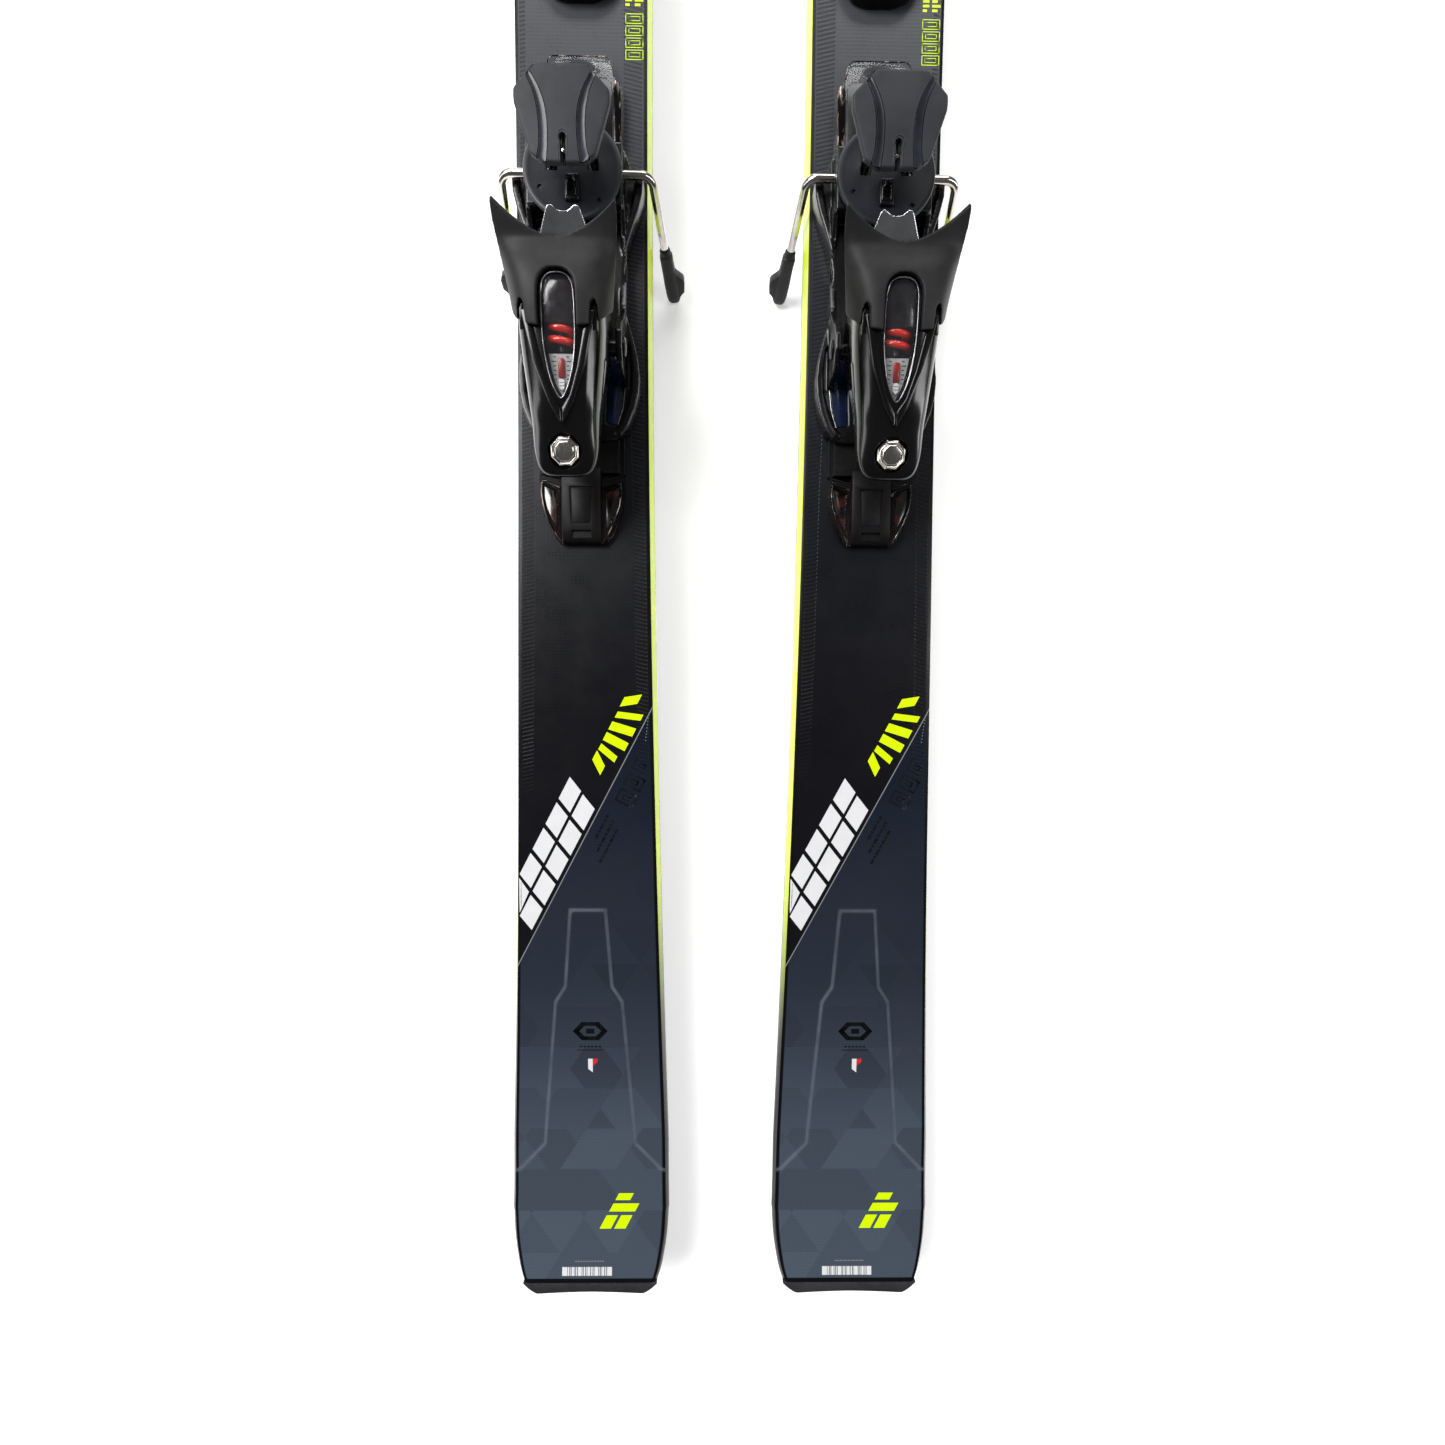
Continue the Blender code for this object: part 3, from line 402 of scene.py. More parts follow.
def clear_plastic():
    p = Paint("clear_plastic", (0.55, 0.55, 0.56), 0.05, Alpha=0.30, Specular_IOR_Level=0.5, Coat_Weight=0.4, Coat_Roughness=0.03)
    p.colour(p.mix(p.linear(p.noise(60.0, 3.0), 0.35, 0.65), (0.06, 0.06, 0.065), (0.24, 0.24, 0.25)))
    p.rough(p.linear(p.noise(120.0, 3.0), 0.3, 0.7, 0.03, 0.12))
    p.soften(0.5)
    p.relief(p.noise(60.0, 1.0), 0.03)
    return p


def smoked_plastic():
    p = Paint("smoked_clear_plastic", srgb(40, 30, 28), 0.10, Alpha=0.62, Specular_IOR_Level=0.4, Coat_Weight=0.15, Coat_Roughness=0.05)
    p.colour(p.mix(p.linear(p.noise(55.0, 3.0), 0.35, 0.65), srgb(12, 11, 12), srgb(34, 26, 25)))
    p.rough(p.linear(p.noise(120.0, 3.0), 0.3, 0.7, 0.04, 0.14))
    p.soften(0.5)
    p.relief(p.noise(160.0, 2.0), 0.02)
    return p


def window_plastic():
    p = Paint("window_plastic", (0.1, 0.1, 0.1), 0.03, Alpha=0.08, Specular_IOR_Level=0.4, Coat_Weight=0.1, Coat_Roughness=0.02)
    p.colour(p.mix(p.linear(p.noise(60.0, 2.0), 0.3, 0.7), (0.06, 0.06, 0.07), (0.14, 0.14, 0.15)))
    p.rough(p.linear(p.noise(90.0, 3.0), 0.3, 0.7, 0.02, 0.07))
    p.soften(0.6)
    return p


P["clear"] = clear_plastic()
P["smoked"] = smoked_plastic()
P["window"] = window_plastic()


def sidewall_paint():
    p = Paint("sidewall_neon", srgb(214, 236, 40), 0.34, Coat_Weight=0.3, Coat_Roughness=0.1)
    split = p.node("ShaderNodeSeparateXYZ")
    p.feed(split.inputs[0], p.place)
    tone = p.mix(p.linear(p.noise(30.0, 4.0, 0.6), 0.3, 0.7), srgb(205, 226, 30), srgb(222, 240, 52))
    p.colour(p.mix(p.step(p.times(split.outputs[1], 1000.0), SIDEWALL_FADE[0], SIDEWALL_FADE[1]), srgb(16, 16, 18), tone))
    p.rough(p.linear(p.noise(60.0, 4.0, stretch=(1, 0.1, 4)), 0.3, 0.7, 0.28, 0.42))
    p.relief(p.noise(500.0, 2.0, stretch=(1, 0.05, 1)), 0.02)
    return p


def base_paint():
    p = Paint("sintered_base", srgb(20, 20, 22), 0.42)
    p.vary(srgb(16, 16, 18), srgb(28, 28, 30), 25.0)
    grind = p.noise(1500.0, 2.0, 0.6, stretch=(1, 0.02, 1))
    p.rough(p.linear(grind, 0.3, 0.7, 0.34, 0.5))
    p.relief(grind, 0.02)
    return p


def core_paint():
    p = Paint("laminated_core", (0.6, 0.43, 0.25), 0.6)
    grain = p.noise(130.0, 5.0, 0.6, stretch=(1, 0.04, 1))
    p.colour(p.mix(grain, (0.46, 0.31, 0.17), (0.70, 0.53, 0.33)))
    p.relief(grain, 0.05)
    return p


P["sidewall"], P["base"], P["core"] = sidewall_paint(), base_paint(), core_paint()


def topsheet_paint():
    """Printed and embossed topsheet; the rise in tone of its dark half towards the binding is painted sheen. UV map
    'ski' holds x and y in metres, 'rim' the distance to the edge and y.
    """
    p = Paint("topsheet_print", srgb(40, 42, 48), 0.30, Specular_IOR_Level=0.20)
    split = p.node("ShaderNodeSeparateXYZ")
    p.feed(split.inputs[0], p.node("ShaderNodeUVMap", uv_map="ski").outputs[0])
    x, y = p.times(split.outputs[0], 1000.0), p.times(split.outputs[1], 1000.0)
    split = p.node("ShaderNodeSeparateXYZ")
    p.feed(split.inputs[0], p.node("ShaderNodeUVMap", uv_map="rim").outputs[0])
    rim = p.times(split.outputs[0], 1000.0)
    # Distance from the diagonal, positive on its lower right.
    d = p.add(p.times(p.add(x, -44.2), 0.8874), p.times(p.add(y, -417.0), -0.4610))
    lower = p.step(d, -0.15, 0.15)
    # The dark half's tone rises from the tail towards the binding: painted sheen, the front lamp's reflection laid into
    # the colour.
    dark = p.ramp(y, TONES_UPPER)
    slate = p.ramp(y, TONES_LOWER)
    # Triangular facets: three families of stripes give each triangle its own tone.
    u = p.times(y, 1 / 30.0)
    v = p.times(p.add(p.times(x, 0.866), p.times(y, 0.62)), 1 / 30.0)
    w = p.times(p.add(p.times(x, 0.866), p.times(y, -0.55)), 1 / 34.0)
    ids = p.node("ShaderNodeCombineXYZ")
    for socket, term in zip(ids.inputs, (u, v, w)):
        p.feed(socket, p.math("FLOOR", term))
    tone = p.node("ShaderNodeTexWhiteNoise", noise_dimensions="3D")
    p.feed(tone.inputs["Vector"], ids.outputs[0])
    shade = p.linear(p.math("ROUND", p.times(tone.outputs["Value"], 2.0)), 0.0, 2.0, 0.86, 1.16)
    strength = p.step(y, 330.0, 120.0, 0.10, 1.0)
    facet = p.add(1.0, p.times(p.add(shade, -1.0), strength))
    slate = p.mix(1.0, slate, p.node_grey(facet), "MULTIPLY")
    body = p.mix(lower, dark, slate)
    # Fine woven lattice all over.
    across = p.math("PINGPONG", p.times(y, 1 / 1.1), 1.0)
    along = p.math("PINGPONG", p.times(x, 1 / 1.25), 1.0)
    lattice = p.add(p.times(across, 0.6), p.times(along, 0.4))
    body = p.mix(1.0, body, p.node_grey(p.linear(lattice, 0.0, 1.0, 0.93, 1.07)), "MULTIPLY")
    # Hatch bands inside both edges.
    slant = p.add(y, p.times(p.math("ABSOLUTE", x), 0.24))
    tick = p.step(p.math("PINGPONG", p.times(slant, 1 / 1.32), 1.0), 0.42, 0.62)
    split = p.node("ShaderNodeSeparateXYZ")
    p.feed(split.inputs[0], p.place)
    middle = abs(CENTRE["left"]) * 1000
    inner = p.step(p.math("ABSOLUTE", p.times(split.outputs[0], 1000.0)), middle + 2.0, middle - 2.0)
    reach = p.add(p.times(inner, p.linear(y, 560.0, 720.0, 10.4, 14.4)), p.times(p.add(1.0, p.times(inner, -1.0)), p.linear(y, 560.0, 720.0, 10.4, 6.4)))
    zone = p.times(p.step(rim, 2.7, 3.2), p.step(p.add(reach, p.times(rim, -1.0)), -0.25, 0.25))
    fade = p.step(y, 330.0, 470.0)
    hatch = p.times(p.times(tick, zone), fade)
    body = p.mix(p.times(hatch, 0.62), body, srgb(9, 9, 12))
    # Black line beside the sidewall, and the black end band of the tail.
    body = p.mix(p.step(rim, 2.6, 1.5), body, srgb(8, 8, 10))
    body = p.mix(p.step(y, 12.6, 12.0), body, srgb(10, 10, 11))
    # Painted highlight: the raised panel's flank is made paler, as its slope would look catching the light, its
    # strength varied by noise.
    split = p.node("ShaderNodeSeparateXYZ")
    p.feed(split.inputs[0], p.node("ShaderNodeUVMap", uv_map="flank").outputs[0])
    flank = p.step(p.math("ABSOLUTE", p.times(split.outputs[0], 1000.0)), 1.7, 0.4)
    flank_sheen = p.linear(p.noise(45.0, 4.0, 0.6), 0.3, 0.7, 0.22, 0.58)
    body = p.mix(p.times(flank, flank_sheen), body, srgb(96, 102, 112))
    # Thin printed line along the diagonal.
    line = p.band(d, -0.32, 0.32, 0.10)
    body = p.mix(p.times(line, 0.85), body, srgb(132, 134, 138))
    # Fine scuffs.
    scuff = p.step(p.noise(260.0, 5.0, 0.7, stretch=(1.0, 0.22, 1)), 0.70, 0.78)
    body = p.mix(p.times(scuff, 0.03), body, srgb(150, 152, 156))
    p.colour(body)
    p.rough(p.add(p.linear(p.noise(35.0, 5.0, 0.6), 0.3, 0.7, 0.24, 0.34), p.times(hatch, 0.10)))
    p.relief(lattice, 0.020)
    p.relief(hatch, -0.16)
    p.relief(p.noise(1500.0, 2.0), 0.008)
    return p


def node_grey(self, value):
    made = self.node("ShaderNodeCombineColor")
    for socket in made.inputs:
        self.feed(socket, value)
    return made.outputs[0]


Paint.node_grey = node_grey

# Tones of the dark half; the rise from y 420 to 860 is painted sheen, not print.
TONES_UPPER = [
    (0, srgb(14, 15, 20)), (420, srgb(13, 13, 17)), (520, srgb(18, 19, 23)), (600, srgb(31, 32, 36)), (700, srgb(48, 49, 53)),
    (780, srgb(60, 61, 65)), (860, srgb(65, 66, 70)), (1100, srgb(58, 59, 64)), (1850, srgb(40, 41, 46)),
]
TONES_LOWER = [
    (0, srgb(64, 73, 84)), (112, srgb(62, 71, 82)), (170, srgb(48, 55, 66)), (224, srgb(36, 43, 53)), (300, srgb(31, 35, 46)),
    (360, srgb(17, 25, 36)), (430, srgb(12, 18, 28)),
]
P["topsheet"] = topsheet_paint()


def ink(name, colour, roughness=0.3):
    p = Paint(name, colour, roughness, Specular_IOR_Level=0.25, Coat_Weight=0.06, Coat_Roughness=0.15)
    p.vary(tuple(c * 0.94 for c in colour), colour, 90.0)
    p.rough(p.linear(p.noise(200.0, 4.0), 0.3, 0.7, roughness * 0.8, roughness * 1.2))
    return p


P["neon"] = ink("print_neon", srgb(205, 238, 0))
P["silver"] = ink("print_white", srgb(212, 212, 214))
P["black_ink"] = ink("print_black", srgb(6, 7, 10), 0.4)
P["red_ink"] = ink("print_red", srgb(196, 44, 40))
P["navy_ink"] = ink("print_navy", srgb(4, 6, 12), 0.4)
P["grey_ink"] = ink("print_grey", srgb(120, 122, 128), 0.4)


# ---------------------------------------------------------------- mesh tools
scene = bpy.context.scene
workshop = bpy.data.collections.new("looks")
scene.collection.children.link(workshop)


def mesh_object(name, bm, paint, angle=35.0):
    bmesh.ops.remove_doubles(bm, verts=bm.verts, dist=1e-7)
    bmesh.ops.recalc_face_normals(bm, faces=bm.faces)
    mesh = bpy.data.meshes.new(name)
    bm.to_mesh(mesh)
    bm.free()
    if paint:
        mesh.materials.append(P[paint].material)
    obj = bpy.data.objects.new(name, mesh)
    workshop.objects.link(obj)
    sharpen(obj, angle)
    return obj


def sharpen(obj, angle=35.0):
    obj.data.shade_smooth()
    obj.data.set_sharp_from_angle(angle=math.radians(angle))
    return obj


def settle(obj, angle=None):
    """Applies the object's modifiers."""
    graph = bpy.context.evaluated_depsgraph_get()
    graph.update()
    mesh = bpy.data.meshes.new_from_object(obj.evaluated_get(graph), preserve_all_data_layers=True, depsgraph=graph)
    old = obj.data
    obj.modifiers.clear()
    obj.data = mesh
    bpy.data.meshes.remove(old)
    if angle is not None:
        sharpen(obj, angle)
    return obj


def discard(obj):
    data = obj.data
    bpy.data.objects.remove(obj, do_unlink=True)
    if isinstance(data, bpy.types.Mesh):
        bpy.data.meshes.remove(data)


def cut(obj, *cutters, operation="DIFFERENCE", angle=35.0):
    for cutter in cutters:
        modifier = obj.modifiers.new("cut", "BOOLEAN")
        modifier.operation = operation
        modifier.solver = "EXACT"
        modifier.object = cutter
    settle(obj, angle)
    for cutter in cutters:
        discard(cutter)
    return obj


def join(obj, *others, angle=35.0):
    return cut(obj, *others, operation="UNION", angle=angle)


def rounded(obj, width, segments=3, limit=30.0, angle=35.0):
    modifier = obj.modifiers.new("round", "BEVEL")
    modifier.width = width / 1000
    modifier.segments = segments
    modifier.limit_method = "ANGLE"
    modifier.angle_limit = math.radians(limit)
    modifier.harden_normals = False
    return settle(obj, angle)


def moulded(obj, voxel, passes=4, keep=0.3, angle=60.0):
    """Melts an object into one softly rounded skin."""
    modifier = obj.modifiers.new("remesh", "REMESH")
    modifier.mode = "VOXEL"
    modifier.voxel_size = voxel / 1000
    modifier = obj.modifiers.new("relax", "SMOOTH")
    modifier.factor = 0.5
    modifier.iterations = passes
    modifier = obj.modifiers.new("lighter", "DECIMATE")
    modifier.ratio = keep
    return settle(obj, angle)


def loft(rings, capped=(True, True)):
    bm = bmesh.new()
    rows = [[bm.verts.new(p) for p in ring] for ring in rings]
    for a, b in zip(rows, rows[1:]):
        for i in range(len(a)):
            j = (i + 1) % len(a)
            bm.faces.new((a[i], a[j], b[j], b[i]))
    if capped[0]:
        bm.faces.new(rows[0][::-1])
    if capped[1]:
        bm.faces.new(rows[-1])
    return bm


def prism(corners, travel):
    bm = bmesh.new()
    face = bm.faces.new([bm.verts.new(p) for p in corners])
    made = bmesh.ops.extrude_face_region(bm, geom=[face])
    bmesh.ops.translate(bm, vec=travel, verts=[v for v in made["geom"] if isinstance(v, bmesh.types.BMVert)])
    return bm


def plan(points, low_h, high_h):
    """A prism over a plan outline, between two heights above the platform."""
    return prism([bind(x, y, low_h) for x, y in points], Vector((0, 0, (high_h - low_h) / 1000)))


def mirrored(half):
    """Outline of a symmetric plan from its +x half, given from one end to the other."""
    return half + [(-x, y) for x, y in half[::-1] if abs(x) > 1e-9]


def block(low_corner, high_corner):
    (x0, y0, h0), (x1, y1, h1) = low_corner, high_corner
    return plan([(x0, y0), (x1, y0), (x1, y1), (x0, y1)], h0, h1)


def rod(start, end, radius, sides=32, end_radius=None):
    bm = bmesh.new()
    along = end - start
    bmesh.ops.create_cone(
        bm, cap_ends=True, segments=sides, radius1=radius / 1000,
        radius2=(radius if end_radius is None else end_radius) / 1000, depth=along.length,
    )
    turn = along.to_track_quat("Z", "Y").to_matrix().to_4x4()
    bmesh.ops.transform(bm, matrix=Matrix.Translation((start + end) / 2) @ turn, verts=bm.verts)
    return bm


def lathe(centre, axis, profile, sides=40, turn=0.0):
    """A turned solid: profile of (radius, along the axis) in millimetres, from bottom to top."""
    axis = axis.normalized()
    side = axis.orthogonal().normalized() if abs(axis.x) > 0.9 else Vector((1, 0, 0)).cross(axis).cross(axis).normalized() * -1
    other = axis.cross(side)
    rings = []
    for radius, up in profile:
        rings.append([
            centre + (axis * up + (side * math.cos(t) + other * math.sin(t)) * max(radius, 0.02)) / 1000
            for t in [turn + k * math.tau / sides for k in range(sides)]
        ])
    return loft(rings)


def sweep(points, radius, sides=16, capped=True, flat=1.0, radii=None):
    """A round bar along a path, carried without twist."""
    rings = []
    tangent = (points[1] - points[0]).normalized()
    normal = tangent.orthogonal().normalized()
    for i, p in enumerate(points):
        a, b = points[max(i - 1, 0)], points[min(i + 1, len(points) - 1)]
        t = (b - a).normalized()
        normal = (normal - t * normal.dot(t)).normalized()
        side = t.cross(normal)
        r = (radii[i] if radii else radius) / 1000
        rings.append([p + (normal * math.cos(k) + side * math.sin(k) * flat) * r for k in [j * math.tau / sides for j in range(sides)]])
    return loft(rings, (capped, capped))


def fillet(points, radius, steps=10):
    made = [points[0]]
    for before, corner, after in zip(points, points[1:], points[2:]):
        u, v = (before - corner).normalized(), (after - corner).normalized()
        half = u.angle(v) / 2
        reach = min(radius / 1000 / math.tan(half), 0.48 * (before - corner).length, 0.48 * (after - corner).length)
        r = reach * math.tan(half)
        centre = corner + (u + v).normalized() * (r / math.sin(half))
        a, b = corner + u * reach - centre, corner + v * reach - centre
        for i in range(steps + 1):
            made.append(centre + a.slerp(b, i / steps).normalized() * r)
    return made + [points[-1]]


def copies(obj, label, body, replaces=(), only=None):
    """Puts the drawn object on both skis, or on one, as pieces that ride on a body."""
    for prefix in SIDES if only is None else [only]:
        mesh = obj.data.copy()
        mesh.transform(Matrix.Translation((CENTRE[prefix], 0, 0)))
        piece = bpy.data.objects.new(f"{prefix}_{label}_look", mesh)
        scene.collection.objects.link(piece)
        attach(piece, f"{prefix}_{body}")
        if replaces:
            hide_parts(*[f"{prefix}_{n}" for n in replaces])
    if only is None:
        discard(obj)


def both_arms(make, label, body):
    """Draws a piece for the +x and -x side and names it inner or outer on each ski."""
    for sign in (1, -1):
        obj = make(sign)
        for prefix, side in SIDES.items():
            name = label.format("inner" if side == sign else "outer")
            copies(obj, name, body.format("inner" if side == sign else "outer"), (name,), only=prefix)
        discard(obj)


# ---------------------------------------------------------------- ski body
def stations(first, fine_to=300.0, fine=2.0, coarse=9.0):
    made, y = [first], first
    while y < LENGTH - 1.5:
        if y < fine_to:
            y += fine
        elif y > 1700:
            y += max(1.2, min(coarse, (LENGTH - y) * 0.09 + 0.6))
        else:
            y += coarse
        made.append(min(y, LENGTH - 1.0))
    return made


def right_edge(first, coarse=9.0, fine=3.0):
    points = [Vector((half_width(y), y)) for y in stations(first, 130.0, fine, coarse)] + [Vector((0.0, LENGTH))]
    normals = []
    for i, p in enumerate(points):
        if i == len(points) - 1:
            normals.append(Vector((0.0, -1.0)))
            continue
        along = points[i + 1] - points[max(i - 1, 0)]
        normals.append(Vector((-along.y, along.x)).normalized())
    return points, normals


def border(name, first, section, paint):
    points, normals = right_edge(first)
    right = []
    for i, (p, n) in enumerate(zip(points, normals)):
        ring = []
        for d, z in section(p.y):
            q = p + n * d
            if i == 0:
                q.y = first
            if i == len(points) - 1:
                q.x = 0.0
            ring.append(Vector((q.x, q.y, base_z(q.y) + z)))
        right.append(ring)
    rings = [[at(*p) for p in ring] for ring in right]
    rings += [[at(-p.x, p.y, p.z) for p in ring] for ring in right[-2::-1]]
    return mesh_object(name, loft(rings), paint, 30)


def build_body():
    end = 9.3
    edge = border("steel_edge", end, lambda y: [(0.0, 0.1), (0.0, 1.7), (0.3, 2.0), (2.0, 2.0), (2.0, 0.1)], "edge")
    copies(edge, "steel_edge", "ski", ["steel_edge"])
    wall = border(
        "sidewall", end,
        lambda y: [(0.2, 2.3), (0.5, 0.25 * thick(y) + 1.6), (2.3, thick(y) - 1.25), (2.7, thick(y) - 1.2), (6.0, thick(y) - 1.2), (6.0, 2.3)],
        "sidewall",
    )
    copies(wall, "sidewall", "ski", ["sidewall"])
    # Topsheet: a grid with its raised tail panel and softened rim.
    columns = 72
    bm = bmesh.new()
    ski_uv, rim_uv, flank_uv = [bm.loops.layers.uv.new(name) for name in ("ski", "rim", "flank")]
    places, facts = stations(end, 296.0, 2.0, 9.0), {}
    rows = []
    for y in places:
        half = max(half_width(y) - 2.4, 0.15)
        ring = []
        for j in range(columns + 1):
            t = -1 + 2 * j / columns
            t = math.copysign(abs(t) ** 0.86, t)
            v = bm.verts.new(at(half * t, y, top_z(half * t, y)))
            facts[v] = (half * t, y, half * (1 - abs(t)))
            ring.append(v)
        floor = base_z(y) + thick(y) - SKIN
        for t in (0.995, -0.995):
            v = bm.verts.new(at(half * t, y, min(floor, top_z(half, y) - 0.05)))
            facts[v] = (half * t, y, 0.0)
            ring.append(v)
        rows.append(ring)
    for a, b in zip(rows, rows[1:]):
        for i in range(len(a)):
            j = (i + 1) % len(a)
            bm.faces.new((a[i], a[j], b[j], b[i]))
    bm.faces.new(rows[0][::-1])
    bm.faces.new(rows[-1])
    for face in bm.faces:
        for loop in face.loops:
            x, y, rim = facts[loop.vert]
            loop[ski_uv].uv = (x / 1000, y / 1000)
            loop[rim_uv].uv = (rim / 1000, y / 1000)
            loop[flank_uv].uv = (flank(x, y) / 1000, y / 1000)
    sheet = mesh_object("topsheet", bm, "topsheet", 50)
    copies(sheet, "topsheet", "ski", ["topsheet"])
    # Tail protector, its end face slightly hollow between two rounded corners.
    rings, count = [], 72
    for i in range(count + 1):
        u = -1 + 2 * i / count
        x = 47.2 * u
        back = max(1.9 * (1 - abs(u) ** 1.6), 7.2 * max(0.0, (abs(u) - 0.72) / 0.28) ** 1.8) - 0.701
        back = max(back, 0.0)
        front, t = 9.0, thick(9.0)
        ring = [(front, 0.0), (back + 0.7, 0.0), (back, 0.9), (back, t - 2.2), (back + 0.5, t - 1.1), (back + 1.6, t - 0.5), (back * 0.4 + 5.4, t - 0.1),
                (front, t - 0.1)]
        rings.append([at(x, min(y, front), base_z(min(y, front)) + z) for y, z in ring])
    protector = mesh_object("tail_protector", loft(rings), "protector", 40)
    copies(protector, "tail_protector", "ski", ["tail_protector"])


# ---------------------------------------------------------------- printed marks
D_ALONG, D_OUT, D_FROM = Vector((0.4610, 0.8874)), Vector((0.8874, -0.4610)), Vector((44.2, 417.0))


def slanted(d, s):
    """A point given by its distance from the diagonal and its place along it."""
    p = D_FROM + D_OUT * d + D_ALONG * s
    return (p.x, p.y)


def marks(label, paint, shapes, lift=0.05, deep=0.16):
    """Thin printed shapes laid on the topsheet."""
    bm = bmesh.new()
    for shape in shapes:
        face = bm.faces.new([bm.verts.new((x, y, 0)) for x, y in shape])
        if face.normal.z < 0 or face.calc_area() < 0:
            face.normal_flip()
    bmesh.ops.recalc_face_normals(bm, faces=bm.faces)
    ys = [v.co.y for v in bm.verts]
    k = math.floor(min(ys) / 4) * 4
    while k < max(ys):
        bmesh.ops.bisect_plane(bm, geom=bm.verts[:] + bm.edges[:] + bm.faces[:], plane_co=(0, k, 0), plane_no=(0, 1, 0), dist=1e-4)
        k += 4
    for k in range(-56, 57, 4):
        bmesh.ops.bisect_plane(bm, geom=bm.verts[:] + bm.edges[:] + bm.faces[:], plane_co=(k, 0, 0), plane_no=(1, 0, 0), dist=1e-4)
    made = bmesh.ops.extrude_face_region(bm, geom=bm.faces[:])
    upper = {v for v in made["geom"] if isinstance(v, bmesh.types.BMVert)}
    for v in bm.verts:
        x, y = v.co.x, v.co.y
        v.co = at(x, y, top_z(x, y) + (lift if v in upper else lift - deep))
    obj = mesh_object(label, bm, paint, 40)
    copies(obj, label, "ski")


def frame_of(corners, width):
    """The four bars of a hollow parallelogram."""
    made = []
    c = [Vector(p) for p in corners]
    middle = sum(c, Vector((0, 0))) / 4
    inner = []
    for i in range(4):
        a, b = (c[i - 1] - c[i]).normalized(), (c[(i + 1) % 4] - c[i]).normalized()
        inner.append(c[i] + (a + b) * width / max(0.3, abs(a.cross(b))))
    for i in range(4):
        j = (i + 1) % 4
        made.append([tuple(c[i]), tuple(c[j]), tuple(inner[j]), tuple(inner[i])])
    return made


def quad(d0, d1, s0, s1, lean=0.0):
    """A parallelogram in diagonal coordinates."""
    return [slanted(d0, s0), slanted(d1, s0 + lean), slanted(d1, s1 + lean), slanted(d0, s1)]


